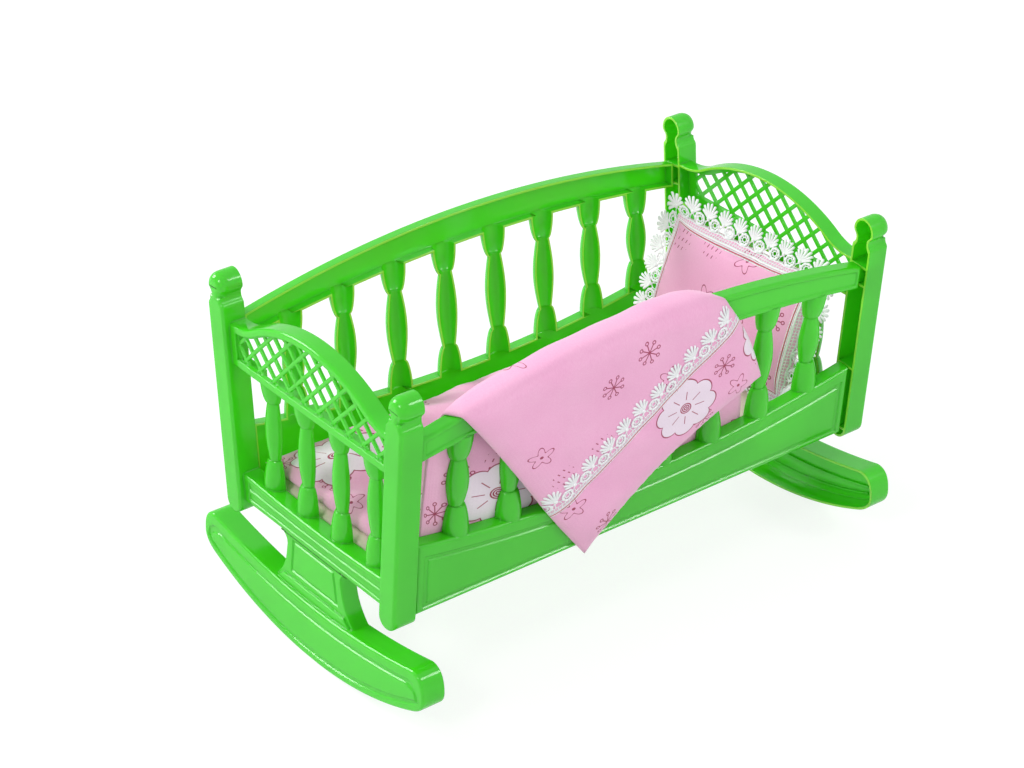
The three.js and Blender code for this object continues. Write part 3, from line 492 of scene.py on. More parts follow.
def end_panel():
    """The whole moulding of the head or foot end."""
    hands = (-1, 1)
    feet = [(x, low_rail_top + x * x / (2 * low_rail_radius))
            for x in ((i - 1.5) * end_spindle_step for i in range(4))]
    reach = post_foot_half + (low_rail - post_foot_height) * math.tan(lean)
    hollow_reach = reach - (post_half + overrun) / math.cos(lean)
    field_reach, field_mid = hollow_reach - field_margin, (low_rail + low_rail_top) / 2
    back, front, rail_inside = behind - 1, end_depth - face_wall, rail_depth - face_wall
    arch = within_bay(plate(arch_outline(0, mid_rail), behind, rail_depth, rail_round),
                      0, mid_rail - 2, arch_top + 2, back, far_off)
    arch_hollow = within_bay(plate(arch_outline(wall, mid_rail + wall), back, lattice_back),
                             post_half + overrun, mid_rail, arch_top, back - 1, far_off)
    recess, window = arch_opening(recess_margin, lattice_front), arch_opening(window_margin, 1)
    plinth_foot = (47, rocker_mid - wall)
    plinth = mirrored([(0, rocker_mid - wall), plinth_foot] + bent(
        [plinth_foot, (39.5, rocker_mid + 4.4), (stem_flare_half, rocker_mid + 7.4)], 6))
    stem_hollow = cut_or_joined(
        plate(stem_outline(wall, rocker_mid - wall, low_rail), back, rail_inside),
        [block(-60, 60, rocker_mid + 2, low_rail, -far_off, far_off)], "INTERSECT")
    members = [
        plate(rocker_outline(0, 0, 0), behind, end_depth, rocker_round),
        *[on_post(plate(post_outline(0), behind, end_depth, post_round), hand) for hand in hands],
        *[on_post(plate(finial_outline(0), behind, end_depth, finial_round, 10, 1.4), hand)
          for hand in hands],
        plate(stem_outline(0, rocker_mid - wall, low_rail), behind, rail_depth, stem_round, 3),
        block(-stem_top_half, stem_top_half, low_rail - wall, low_rail + wall, behind, rail_depth - 0.1),
        plate(plinth, behind, rail_depth + 2, plinth_round, 3),
        plate(banded(low_rail, 0, low_rail_top, low_rail_radius, reach), behind, rail_depth, rail_round),
        arch,
        *[turned(end_spindle_sizes, x, foot, mid_rail, 0, wall) for x, foot in feet]]
    hollows = [
        plate(rocker_outline(wall, wall, wall), back, front),
        *[on_post(plate(post_outline(wall), back, front), hand) for hand in hands],
        *[on_post(plate(finial_outline(wall), back, front, 4.0, 10, 1.8), hand) for hand in hands],
        stem_hollow,
        plate(banded(low_rail + wall, 0, low_rail_top - wall, low_rail_radius, hollow_reach), back,
              rail_inside),
        arch_hollow,
        *[turned(end_spindle_sizes, x, foot, mid_rail, spindle_wall, wall + overrun) for x, foot in feet]]
    # Stiffening ridges along the rocker's hollow, and ribs that hold the tongues in the posts
    ridges = [(8.7, rocker_radius), (35.2, rocker_top_radius),
              (20.95, (rocker_radius + rocker_top_radius) / 2)]
    inserts = [plate(banded(z - 1, radius, z + 1, radius, rocker_reach - 18), ridge_back, rib_front)
               for z, radius in ridges]
    for hand in hands:
        for level in post_rib_levels:
            inserts.append(on_post(block(-rib_half, rib_half, level, level + rib_thick, 0, rib_front), hand))
    inner_margins = [margin + groove_wide for margin in rocker_margins]
    low_field = banded(low_rail + field_margin, 0, field_mid - 1, 2 * low_rail_radius, field_reach)
    high_field = banded(field_mid + 1, 2 * low_rail_radius, low_rail_top - field_margin, low_rail_radius,
                        field_reach)
    cuts = [groove(rocker_outline(*rocker_margins), rocker_outline(*inner_margins), end_depth, groove_deep),
            groove(stem_panel(stem_groove_wide), stem_panel(0), rail_depth, groove_deep),
            sunk(low_field, rail_depth, field_deep, field_slope),
            sunk(high_field, rail_depth, field_deep, field_slope),
            recess, window]
    shell = moulding(members, hollows, inserts, cuts)
    return cut_or_joined(shell, [lattice_bars()], "UNION")


def stood_up(mesh, name, node, place):
    """The finished moulding in its place, smooth over its curves, its cut rims given the painted glow."""
    mesh.transform(place @ Matrix.Scale(0.001, 4))
    made = placed(name, mesh)
    shape = bmesh.new()
    shape.from_mesh(mesh)
    bmesh.ops.remove_doubles(shape, verts=shape.verts, dist=2e-6)
    bmesh.ops.dissolve_degenerate(shape, dist=2e-6, edges=shape.edges)
    bmesh.ops.dissolve_limit(shape, angle_limit=math.radians(0.4), verts=shape.verts, edges=shape.edges)
    shape.to_mesh(mesh)
    shape.free()
    mesh.polygons.foreach_set("use_smooth", [True] * len(mesh.polygons))
    mesh.set_sharp_from_angle(angle=math.radians(32))
    even = made.modifiers.new("even_shine", "WEIGHTED_NORMAL")
    even.keep_sharp = True
    mesh.materials.clear()
    mesh.materials.append(plastic)
    mesh.materials.append(plastic_painted_rim_glow)
    # Flat faces on the cut back take the plastic copy with the painted rim glow.
    back = place.to_3x3().col[2]
    middle = back.dot(place.translation)
    for face in mesh.polygons:
        face.material_index = face.normal.dot(back) < -0.99 and abs(face.center.dot(back) - middle) < 1e-5
    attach(made, "cradle")
    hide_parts(node)


to_head = Matrix(((0, 0, 1, mouth_x / 1000), (1, 0, 0, 0), (0, 1, 0, 0), (0, 0, 0, 1)))
half_turn = Matrix.Rotation(math.pi, 4, "Z")
end_mesh = end_panel()
stood_up(end_mesh.copy(), "headboard_moulding", "headboard", to_head)
stood_up(end_mesh, "footboard_moulding", "footboard", half_turn @ to_head)


# Side panels. Two more mouldings of the same plastic, each with an arched top rail, eight
# half-turned spindles, a low panel and four tongues that push into the ribbed backs of the posts.
side_depth, side_rail_depth = 10.6, 9.4
side_spindle_step, side_spindle_sizes = 45, (10.3, 5.6, 8.7)
side_round, side_rail_round, side_margins, rail_field_margin = 2.6, 2.2, (3.2, 9.4, 5.2), 3.4
tongue_back, tongue_front, tongue_out = 3.5, 6.5, 9


def side_panel():
    """The whole moulding of a long side."""
    def panel(low, high, side):
        return banded(panel_bottom + low, 0, ledge_mid - high, ledge_radius, panel_reach - side)

    def rail(inset, side):
        return banded(rail_low + inset, -rail_low_radius, rail_high - inset, -rail_high_radius,
                      panel_reach - side)

    spans = [(x, ledge_mid + x * x / (2 * ledge_radius), rail_low - x * x / (2 * rail_low_radius))
             for x in ((i - 3.5) * side_spindle_step for i in range(8))]
    members = [plate(panel(0, 0, 0), behind, side_depth, side_round),
               plate(rail(0, 0), behind, side_rail_depth, side_rail_round),
               *[turned(side_spindle_sizes, *span, 0, wall) for span in spans]]
    hollows = [plate(panel(wall, wall, wall), behind - 1, side_depth - face_wall),
               plate(rail(wall, wall), behind - 1, side_rail_depth - face_wall),
               *[turned(side_spindle_sizes, *span, spindle_wall, wall + overrun) for span in spans]]
    tongues = []
    for low, high in tongue_spans:
        for hand in (-1, 1):
            ends = sorted((hand * (panel_reach - wall / 2), hand * (panel_reach + tongue_out)))
            tongues.append(block(*ends, low, high, tongue_back, tongue_front))
    inner_margins = [margin + groove_wide for margin in side_margins]
    ring = groove(panel(*side_margins), panel(*inner_margins), side_depth, groove_deep)
    rail_field = sunk(rail(field_margin, rail_field_margin), side_rail_depth, groove_deep)
    return moulding(members, hollows, tongues, [ring, rail_field])


to_near = Matrix(((1, 0, 0, 0), (0, -math.sin(lean), -math.cos(lean), -panel_foot_y / 1000),
                  (0, math.cos(lean), -math.sin(lean), 0), (0, 0, 0, 1)))
side_mesh = side_panel()
stood_up(side_mesh.copy(), "near_side_moulding", "side_panel_near", to_near)
stood_up(side_mesh, "far_side_moulding", "side_panel_far", half_turn @ to_near)


# Floor panel. A flat tray of the same plastic tucked into the open backs of the side panels,
# with a ribbed frame below.
nodes["floor_panel"].data.materials.clear()
nodes["floor_panel"].data.materials.append(plastic)


# Mattress. A thin pad of cream cotton, slightly crowned and sewn shut round its side. It lies loose
# on the floor panel.
def eased(share):
    """From -1 to 1, slow at both ends."""
    return -math.cos(math.pi * share)


def thread_bump(wire, place, threads, strength, distance):
    """Bump of a plain weave with that many threads a metre."""
    over, under = (wire.node("ShaderNodeTexWave", {"bands_direction": way}, {
        "Vector": place, "Scale": threads / 20, "Distortion": 1.5, "Detail": 2.0}) for way in "XY")
    return wire.node("ShaderNodeBump", {}, {
        "Strength": strength, "Distance": distance, "Height": over.most(under)})


def cream_cotton():
    made, wire = new_finish("cream_cotton")
    place = wire.node("ShaderNodeTexCoord", {}, {}, 3)
    slub = wire.noise(place.stretched((1.0, 6.0, 6.0)), 260.0, 3.0)
    cloud = wire.noise(place, 22.0, 3.0)
    colour = (slub * 0.6 + cloud * 0.4).mixed(srgb(226, 206, 190), srgb(252, 240, 228))
    cloth = wire.node("ShaderNodeBsdfPrincipled", {}, {
        "Base Color": colour, "Roughness": 0.86 + slub * 0.1,
        "Normal": thread_bump(wire, place, 1800, 0.4, 0.0002), "Sheen Weight": 0.2})
    return surfaced(made, cloth)


def grid_mesh(name, faces, columns, rows):
    """A closed mesh from a front and a back given over the unit square, with its cloth coordinates."""
    points, quads, flats = [], [], []
    row = columns + 1
    for face in faces:
        for j in range(rows + 1):
            for i in range(columns + 1):
                point, flat = face(i / columns, j / rows)
                points.append(point)
                flats.append(flat)
    layer = row * (rows + 1)
    for j in range(rows):
        for i in range(columns):
            a = j * row + i
            b = a + layer
            quads += [(a, a + 1, a + row + 1, a + row), (b, b + row, b + row + 1, b + 1)]
    edges = []
    for i in range(columns):
        edges += [(i, i + 1), (layer - 1 - i, layer - 2 - i)]
    for j in range(rows):
        edges += [(j * row + columns, (j + 1) * row + columns), ((j + 1) * row, j * row)]
    quads += [(a, a + layer, b + layer, b) for a, b in edges]
    mesh = bpy.data.meshes.new(name)
    mesh.from_pydata(points, [], quads)
    cloth = mesh.uv_layers.new(name="cloth")
    for loop in mesh.loops:
        cloth.data[loop.index].uv = flats[loop.vertex_index]
    mesh.polygons.foreach_set("use_smooth", [True] * len(mesh.polygons))
    return placed(name, mesh)


mattress_low, mattress_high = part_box("mattress")
mattress_mid = (mattress_low + mattress_high) / 2
mattress_half = (mattress_high - mattress_low) / 2
mattress_crown, mattress_round, mattress_ripple = 0.0024, 0.007, 0.0006


def mattress_face(side):
    """The pad's upper face, side 1, or its lower face, side -1."""
    def face(u, v):
        a, b = eased(u), eased(v)
        x, y = a * mattress_half.x, b * mattress_half.y
        swell = max((1 - abs(a) ** 10) * (1 - abs(b) ** 8), 0)
        thick = mattress_half.z - mattress_crown / 2 - mattress_round
        ripple = mattress_ripple * math.sin(a * 17 + 2 * b) * math.sin(b * 9) * swell
        z = mattress_mid.z - mattress_crown / 2 + side * (thick + mattress_round * math.sqrt(swell))
        z += (mattress_crown * swell + ripple) if side > 0 else 0
        return Vector((x, y, z)), (x, y)

    return face


mattress = grid_mesh("mattress_pad", [mattress_face(1), mattress_face(-1)], 60, 40)
mattress.data.materials.append(cream_cotton())
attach(mattress, "mattress")
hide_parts("mattress")


# Pillow. Two pieces of printed pink cotton sewn together and stuffed, leaning on the head end
# and turned a little; its corners are pulled in by the filling.
pillow_foot = Vector((0.147, -0.006, 0.1132))
leaning = (Matrix.Translation(pillow_foot) @ Matrix.Rotation(math.radians(6), 4, "Z")
           @ Matrix.Rotation(math.radians(21), 4, "Y") @ Matrix.Rotation(math.radians(0.6), 4, "X"))


def leant(point):
    """From the pillow's own upright frame to its place against the head end."""
    return leaning @ Vector(point)


pillow_width, pillow_tall, pillow_thick, pillow_seam = 0.140, 0.096, 0.032, 0.0016
back_print_shift = 0.3


def printed_pink():
    made, wire = new_finish("printed_pink_cotton")
    spot = wire.node("ShaderNodeUVMap", {"uv_map": "cloth"}, {})
    across, along, _ = spot.split()

    def scattered(size, loose, seed):
        """Place from the middle of each loosely set cell, and three chances of that cell."""
        column, row = (across / size).floor(), (along / size).floor()
        cell = wire.node("ShaderNodeCombineXYZ", {}, {0: column + seed, 1: row, 2: seed})
        first, second, third = wire.node("ShaderNodeTexWhiteNoise", {}, {"Vector": cell}, 1).split()
        x = across - (column + 0.5 + (first - 0.5) * loose) * size
        y = along - (row + 0.5 + (second - 0.5) * loose) * size
        radius = (x * x + y * y).power(0.5)
        angle = y.maths("ARCTAN2", x) + third * 6.28
        return x, y, radius, angle, (first * 7.3 + third * 5.1).maths("FRACT"), third

    def folded(value, step):
        """The distance from the nearest whole number of steps."""
        return value - (value / step + 0.5).floor() * step

    def both(*masks):
        """All the masks at once."""
        whole = masks[0]
        for mask in masks[1:]:
            whole = whole * mask
        return whole

    soft = 0.00022
    # Big pale blossoms with a dark outline
    x, y, radius, angle, kind, chance = scattered(0.078, 0.25, 3.0)
    size = 0.020 + 0.006 * kind
    petal = folded(angle, 6.2832 / 8)
    edge = size * (0.72 + 0.28 * (petal * 3.6).maths("COSINE").power(0.5))
    there = chance.below(0.42, 0.001)
    blossom = both(there, (radius - edge).below(0, soft))
    outline = both(there, abs(radius - edge).below(0.0005, soft))
    heart = both(there, radius.below(size * 0.2, soft), folded(radius, 0.0015).below(0.0002, soft))
    stamen = both(there, (abs(petal) * radius).below(0.00034, soft), radius.below(size * 0.6, soft),
                  1 - radius.below(size * 0.3, soft))
    # Seed heads, little flowers and flecks between them
    x, y, radius, angle, kind, chance = scattered(0.034, 0.34, 9.0)
    turn = folded(angle, 6.2832 / 8)
    out, aside = radius * turn.maths("COSINE"), radius * turn.maths("SINE")
    seeds = both(abs(aside).below(0.0004, soft), out.below(0.0066, soft)).most(
        abs(((out - 0.0078).power(2) + aside * aside).power(0.5) - 0.0012).below(0.00036, soft))
    flower = abs(radius - 0.0094 * (0.74 + 0.26 * (angle * 5).maths("COSINE"))).below(0.00044, soft).most(
        radius.below(0.0013, soft))
    flecks = both(abs(folded(x + y * 0.3, 0.0046)).below(0.0004, soft),
                  abs(folded(y, 0.0062)).below(0.0013, soft), radius.below(0.0092, soft))
    chosen = both(kind.below(0.34, 0.001), seeds).most(
        both(1 - kind.below(0.34, 0.001), kind.below(0.64, 0.001), flower)).most(
        both(1 - kind.below(0.64, 0.001), flecks))
    ink = both(chosen, chance.below(0.52, 0.001), 1 - blossom).most(outline).most(heart).most(stamen)
    warp = wire.noise(spot.stretched((1.0, 7.0, 1.0)), 520.0, 2.0)
    weft = wire.noise(spot.stretched((7.0, 1.0, 1.0)), 520.0, 2.0)
    cloud = wire.noise(spot, 30.0, 2.0)
    tone = ((warp * 0.35 + weft * 0.35 + cloud * 0.3 - 0.2) * 1.7).clamped()
    ground = tone.mixed(srgb(230, 152, 197), srgb(248, 194, 223))
    pale = tone.mixed(srgb(228, 208, 228), srgb(246, 232, 244))
    dye = tone.mixed(srgb(138, 30, 66), srgb(176, 66, 104))
    colour = ink.mixed(blossom.mixed(ground, pale), dye)
    cloth = wire.node("ShaderNodeBsdfPrincipled", {}, {
        "Base Color": colour, "Roughness": 0.82 + warp * 0.1,
        "Normal": thread_bump(wire, spot, 2600, 0.35, 0.00015), "Sheen Weight": 0.25})
    return surfaced(made, cloth)


pink_print = printed_pink()


def pillow_face(side):
    """The flat case's front, side 1, or its back, side -1, a little apart in the middle."""
    def face(i, j):
        u, v = ((1 + eased(share) * 0.35 + (2 * share - 1) * 0.65) / 2 for share in (i, j))
        y, z = (1 - 2 * u) * pillow_width / 2, v * pillow_tall
        full = max(16 * u * (1 - u) * v * (1 - v), 0) ** 0.5
        x = -side * (pillow_seam + 0.3 * pillow_thick * full) / 2
        return Vector((x, y, z)), (y, z + (back_print_shift if side < 0 else 0))

    return face


def blown_up(piece, pressure, last):
    """The sewn case filled by a cloth simulation, left as a plain mesh."""
    scene = bpy.context.scene
    filling = piece.modifiers.new("filling", "CLOTH")
    filling.settings.effector_weights.gravity = 0
    filling.settings.use_pressure = True
    filling.settings.uniform_pressure_force = pressure
    filling.settings.tension_stiffness = filling.settings.compression_stiffness = 25
    filling.settings.bending_stiffness = 0.05
    for step in range(1, last + 1):
        scene.frame_set(step)
    filled = bpy.data.meshes.new_from_object(piece.evaluated_get(bpy.context.evaluated_depsgraph_get()))
    scene.frame_set(1)
    piece.modifiers.clear()
    piece.data = filled


pillow_columns, pillow_rows = 72, 50
pillow = grid_mesh("pillow_case", [pillow_face(1), pillow_face(-1)], pillow_columns, pillow_rows)
pillow.data.materials.append(pink_print)
flat_case = np.array([v.co for v in pillow.data.vertices])
blown_up(pillow, 4, 20)
swell = np.array([v.co for v in pillow.data.vertices])
swell[:, 1:] = 0.85 * flat_case[:, 1:] + 0.15 * swell[:, 1:]
span = np.ptp(swell, axis=0)
swell -= (swell.max(0) + swell.min(0)) / 2
swell *= np.array([pillow_thick, pillow_width, pillow_tall]) / span
swell[:, 2] += pillow_tall / 2
pillow.data.vertices.foreach_set("co", swell.ravel())
pillow.data.update()
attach(pillow, "pillow")
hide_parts("pillow")


# Pillow lace. White embroidered cotton lace of rings and fans on a netted heading, sewn round
# the pillow's edge with two rows of white stitches and a row of deep pink ones between them.
def thread(path, radii, closed=False, sides=6, press=0.6):
    """A rounded, pressed thread through (along, out) points in millimetres, lying on height 0."""
    path = np.array(path, float)
    radii = np.broadcast_to(np.array(radii, float), len(path)).copy()
    if not closed:
        first, last = path[0] - path[1], path[-1] - path[-2]
        path = np.vstack([path[0] + first / np.linalg.norm(first) * radii[0] * 0.7, path,
                          path[-1] + last / np.linalg.norm(last) * radii[-1] * 0.7])
        radii = np.concatenate([[radii[0] * 0.5], radii, [radii[-1] * 0.5]])
    ahead, back = np.roll(path, -1, 0) - path, path - np.roll(path, 1, 0)
    if not closed:
        ahead[-1], back[0] = back[-1], ahead[0]
    way = ahead / np.linalg.norm(ahead, axis=1)[:, None] + back / np.linalg.norm(back, axis=1)[:, None]
    way /= np.linalg.norm(way, axis=1)[:, None]
    points, faces, n = [], [], len(path)
    for (x, y), (wx, wy), r in zip(path, way, radii):
        for a in np.linspace(0, 2 * math.pi, sides, endpoint=False):
            points.append((x - wy * r * math.cos(a), y + wx * r * math.cos(a), r * press * (1 + math.sin(a))))
    for k in range(n if closed else n - 1):
        for i in range(sides):
            a, b, m = k * sides + i, k * sides + (i + 1) % sides, (k + 1) % n * sides
            faces.append((a, b, m + (i + 1) % sides, m + i))
    if not closed:
        faces += [tuple(range(sides))[::-1], tuple((n - 1) * sides + i for i in range(sides))]
    return points, faces


def lace_repeat(pitch):
    """One ring, one fan and their piece of heading."""
    middle, wreath, ring, spoke_start, spoke_end = 8.6, 3.9, 1.9, 2.2, 3.2

    def turns(count):
        return np.linspace(0, 2 * math.pi, count, endpoint=False)

    def on_ring(r, a):
        return r * math.cos(a), middle + r * math.sin(a)

    swelling = [1.0 + 0.22 * math.cos(8 * a) for a in turns(40)]
    parts = [thread([on_ring(wreath, a) for a in turns(40)], swelling, True),
             thread([on_ring(ring, a) for a in turns(16)], 0.5, True)]
    for a in turns(8):
        parts.append(thread([on_ring(r, a) for r in (spoke_start, spoke_end)], 0.3, sides=5))
    root, low = pitch / 2 - 0.4, 10.6
    for k in range(-3, 4):
        a = math.radians(93 + 16 * k)
        reach = 12.2 - 0.42 * k * k
        stops = [1.2, 0.4 * reach, 0.75 * reach, reach - 0.5]
        leaf = [(root + r * math.cos(a), low + r * math.sin(a)) for r in stops]
        parts.append(thread(leaf, [0.6, 0.78, 1.0, 1.05]))
    parts.append(thread([(root, low - 0.2), (root, low + 1.0)], [1.3, 1.5], sides=10))
    for hand in (-1, 1):
        meet = pitch / 2 - hand * (pitch / 2 - wreath - 0.8)
        parts.append(thread([(root, low), ((root + meet) / 2, 8.9), (meet, 8.3)], 0.45))
        leg = [(pitch / 2 + hand * 1.5, 8.7), (pitch / 2 + hand * 2.4, 6.4), (pitch / 2 + hand * 2.0, 4.4)]
        parts.append(thread(leg, 0.35))
    steps = np.linspace(0, pitch, 11)
    parts.append(thread([(s, 0.5) for s in steps], 0.75, press=0.4))
    parts.append(thread([(s, 4.2 - 0.35 * math.cos(2 * math.pi * s / pitch)) for s in steps], 0.45))
    parts.append(thread([(s, 2.3) for s in steps], 0.26, sides=5))
    for k in range(6):
        s = (k + 0.5) * pitch / 6
        parts.append(thread([(s - 0.3, 0.6), (s, 2.3), (s + 0.3, 4.1)], 0.34, sides=5))
    return parts


def stitches(out, length, stitch, radius):
    """A row of straight stitches with short gaps between them."""
    steps = np.arange(0.0, length - stitch / 2, stitch)
    return [thread([(s + 0.15, out), (s + stitch / 2, out), (s + stitch - 0.35, out)], radius, sides=5)
            for s in steps]


def white_cotton(name, dark, bright):
    made, wire = new_finish(name)
    place = wire.node("ShaderNodeTexCoord", {}, {}, 3)
    fibre = wire.noise(place, 2600.0, 3.0)
    strand = wire.noise(place, 700.0, 2.0)
    twist = wire.node("ShaderNodeBump", {}, {
        "Strength": 0.6, "Distance": 0.0002, "Height": fibre * 0.5 + strand * 0.5})
    cloth = wire.node("ShaderNodeBsdfPrincipled", {}, {
        "Base Color": (strand * 0.5 + fibre * 0.5).mixed(dark, bright), "Roughness": 0.75 + fibre * 0.2,
        "Normal": twist, "Sheen Weight": 0.15})
    return surfaced(made, cloth)


lace_white = white_cotton("lace_white", srgb(224, 228, 232), srgb(255, 255, 255))
piping_red = white_cotton("piping_red", srgb(186, 56, 88), srgb(226, 112, 138))


def laid_lace(name, length, repeats, place):
    """Lace with its stitches, laid along a seam by a function from (along, out, height)."""
    pitch = length / repeats
    kinds = []
    motif = lace_repeat(pitch)
    for k in range(repeats):
        kinds += [([(s + k * pitch, t, h) for s, t, h in points], faces, 0) for points, faces in motif]
    for out, radius, finish in ((-0.9, 0.36, 0), (-1.7, 0.4, 1), (-2.5, 0.36, 0)):
        kinds += [(points, faces, finish) for points, faces in stitches(out, length, 2.6, radius)]
    points, faces, finishes = [], [], []
    for part_points, part_faces, finish in kinds:
        first = len(points)
        points += [place(min(max(s, 0), length), t, h) for s, t, h in part_points]
        faces += [tuple(first + i for i in face) for face in part_faces]
        finishes += [finish] * len(part_faces)
    mesh = bpy.data.meshes.new(name)
    mesh.from_pydata(points, [], faces)
    mesh.polygons.foreach_set("material_index", finishes)
    mesh.polygons.foreach_set("use_smooth", [True] * len(faces))
    mesh.materials.append(lace_white)
    mesh.materials.append(piping_red)
    return placed(name, mesh)


def pillow_rim():
    """The sewn edge in order, from the seam's front vertices."""
    row = pillow_columns + 1
    ring = list(range(row)) + [j * row + pillow_columns for j in range(1, pillow_rows + 1)]
    ring += [pillow_rows * row + i for i in range(pillow_columns - 1, -1, -1)]
    ring += [j * row for j in range(pillow_rows - 1, 0, -1)]
    rim = swell[ring + [0]]
    way = np.concatenate([[0], np.cumsum(np.linalg.norm(np.diff(rim, axis=0), axis=1))])
    return rim, way / way[-1]


rim, rim_share = pillow_rim()
lace_on_case, lace_forward = 5.0, 0.9
pillow_lace_length = 472.0


def pillow_lace_place(s, t, h):
    """A place on the pillow's lace: s along its seam, t out from it and h off the cloth."""
    share = s / pillow_lace_length
    x, y, z = (np.interp(share, rim_share, rim[:, k]) for k in range(3))
    cy, cz = y / pillow_width, (z - pillow_tall / 2) / pillow_tall
    out = Vector((math.copysign(abs(2 * cy) ** 4, cy), math.copysign(abs(2 * cz) ** 4, cz))).normalized()
    reach, high = (t - lace_on_case) / 1000, h / 1000
    if reach <= 0:
        inner = (y + out.x * reach, z + out.y * reach)
        hit, spot, *_ = pillow.ray_cast(Vector((-0.1, *inner)), Vector((1, 0, 0)))
        return leant(((spot.x if hit else x) - high + 0.0001, *inner))
    low = min(1, max(-out.y, 0) * 1.6) * lace_forward * min(1, reach / 0.006)
    away = reach * (1 - low) - high * low
    return leant((x - low * reach - high * (1 - low), y + out.x * away, z + out.y * away))


pillow_lace = laid_lace("pillow_lace_trim", pillow_lace_length, 32, pillow_lace_place)
pillow.data.transform(leaning)
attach(pillow_lace, "pillow")
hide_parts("pillow_lace")


# Blanket. A thin quilted cover of the same print thrown over the near rail: one end hangs down
# outside at a slant, and the rest falls behind the spindles and lies on the mattress as far as
# the foot end. It is loose.
blanket_width, blanket_length = 0.180, 0.470
blanket_turn = math.radians(32)
blanket_corner_x, blanket_corner_z = -0.050, 0.076
blanket_foot_x, blanket_foot_ease = -0.197, 0.030
blanket_puff, blanket_puff_edge, blanket_seam = 0.0085, 0.024, 0.0016
blanket_crest_share = 0.36
hem_bow, hem_bow_reach = 0.012, 0.09
foot_drift, side_spread, side_spread_ease = 0.16, 0.090, 0.080
side_bow, side_bow_reach = 0.008, 0.12
near_tuck, near_tuck_reach, near_tuck_ease = 0.006, 0.075, 0.06
crest_tuck, crest_tuck_ease = 0.016, 0.012
ridge_way, ridge_half_width, ridge_half_length = 0.022, 0.012, 0.010
lace_seam_way, lace_way, lace_slant = 0.0555, 0.0570, 0.013
side_foot, side_front = panel_foot_y / 1000, side_depth / 1000
rail_top, rail_radius = round(rail_high / 1000, 4), rail_high_radius / 1000
bed_z, blanket_inner_y = 0.11175, -0.083


def blanket_course():
    """The course of the cover seen from the foot end: way along it, its points, way to its crest."""
    def spot(out, up):
        return np.array([side_foot + up * math.sin(lean) + out * math.cos(lean),
                         up * math.cos(lean) - out * math.sin(lean)])

    drape = 0.0006
    stops = [spot(side_front + drape, blanket_corner_z / math.cos(lean)),
             spot(side_front + drape, rail_top + drape), spot(-drape, rail_top + drape),
             spot(-drape, bed_z / math.cos(lean)), np.array([blanket_inner_y, bed_z])]
    bends = [0, 0.0014, 0.0014, 0.014, 0]
    line, marks = [stops[0]], [0]
    for before, corner, after, bend in zip(stops, stops[1:], stops[2:], bends[1:]):
        start = corner + (before - corner) / np.linalg.norm(before - corner) * bend
        end = corner + (after - corner) / np.linalg.norm(after - corner) * bend
        marks.append(len(line))
        for t in np.linspace(0, 1, 9):
            line.append((1 - t) ** 2 * start + 2 * t * (1 - t) * corner + t * t * end)
    line.append(stops[-1])
    line = np.array(line)
    way = np.concatenate([[0], np.cumsum(np.linalg.norm(np.diff(line, axis=0), axis=1))])
    crest = (way[marks[2]] + way[marks[2] + 8]) / 2
    return way, line, crest


course_way, course_line, crest = blanket_course()
course_end = course_way[-1]
course_soft = 0.004


def course_at(run):
    """Place and direction on the course, eased over its bends."""
    spots = (run, min(run + course_soft, course_end), max(run - course_soft, 0))
    at, after, before = (np.array([np.interp(spot, course_way, course_line[:, k]) for k in range(2)])
                         for spot in spots)
    way = after - before
    return at, way / max(np.linalg.norm(way), 1e-9)


def way_to_crest(across):
    """How far along its length the cover lies on the rail's crest."""
    return (crest - across * math.sin(blanket_turn)) / math.cos(blanket_turn)


def blanket_point(across, along, rise):
    """A place on the cover: across its width and along its length in metres, raised off its back."""
    u = across / blanket_width
    bow = hem_bow * math.sin(math.pi * u ** 0.8) * max(0, 1 - along / hem_bow_reach)
    first = across * math.sin(blanket_turn) + bow
    to_crest = way_to_crest(across)
    stretch = (course_end - crest) / (blanket_length - to_crest)
    if along < to_crest:
        run = first + (crest - first) * along / to_crest
    else:
        run = crest + (along - to_crest) * stretch
    before, past = min(along, to_crest), max(along - to_crest, 0)
    x = blanket_corner_x + across * math.cos(blanket_turn) - before * math.sin(blanket_turn)
    x -= past * foot_drift
    x += side_spread * u * (1 - math.exp(-past / side_spread_ease))
    x += side_bow * u ** 6 * math.sin(math.pi * min(along / side_bow_reach, 1))
    tuck = math.sin(math.pi / 2 * min(along / near_tuck_reach, 1)) * math.exp(-past / near_tuck_ease)
    x -= near_tuck * (1 - u) ** 2 * tuck
    x -= crest_tuck * (1 - u) ** 2 * (1 - math.exp(-past / crest_tuck_ease))
    ease_end = blanket_foot_x + blanket_foot_ease
    if x < ease_end:
        x = blanket_foot_x + blanket_foot_ease * math.exp((x - ease_end) / blanket_foot_ease)
    at, way = course_at(run)
    lift = rise(across, along, run, x)
    for ridge, tall in ((0.040, 0.007), (0.104, 0.012)):
        aside, ahead = (across - ridge) / ridge_half_width, (past - ridge_way) / ridge_half_length
        lift += tall * math.exp(-aside ** 2 - ahead ** 2)
    y, z = at[0] + way[1] * lift, at[1] - way[0] * lift
    drop = max(z - bed_z, 0) * x * x / (2 * rail_radius) / (rail_top - bed_z)
    return Vector((x, drop * math.tan(lean) - y, z - drop))


def seam_share(distance, full):
    """0 at a sewn edge, rising steeply and levelling out where the filling is full."""
    return math.sin(math.pi / 2 * min(1, max(0, distance) / full)) ** 0.7


def wave(x, y, seed):
    """Smooth made-up unevenness between about -1 and 1."""
    return (math.sin(x * 1.0 + seed) * math.cos(y * 1.3 - seed) + 0.6 * math.sin(x * 2.3 - y * 1.7 + 2 * seed)
            + 0.3 * math.cos(x * 4.1 + y * 3.3 + seed)) / 1.6


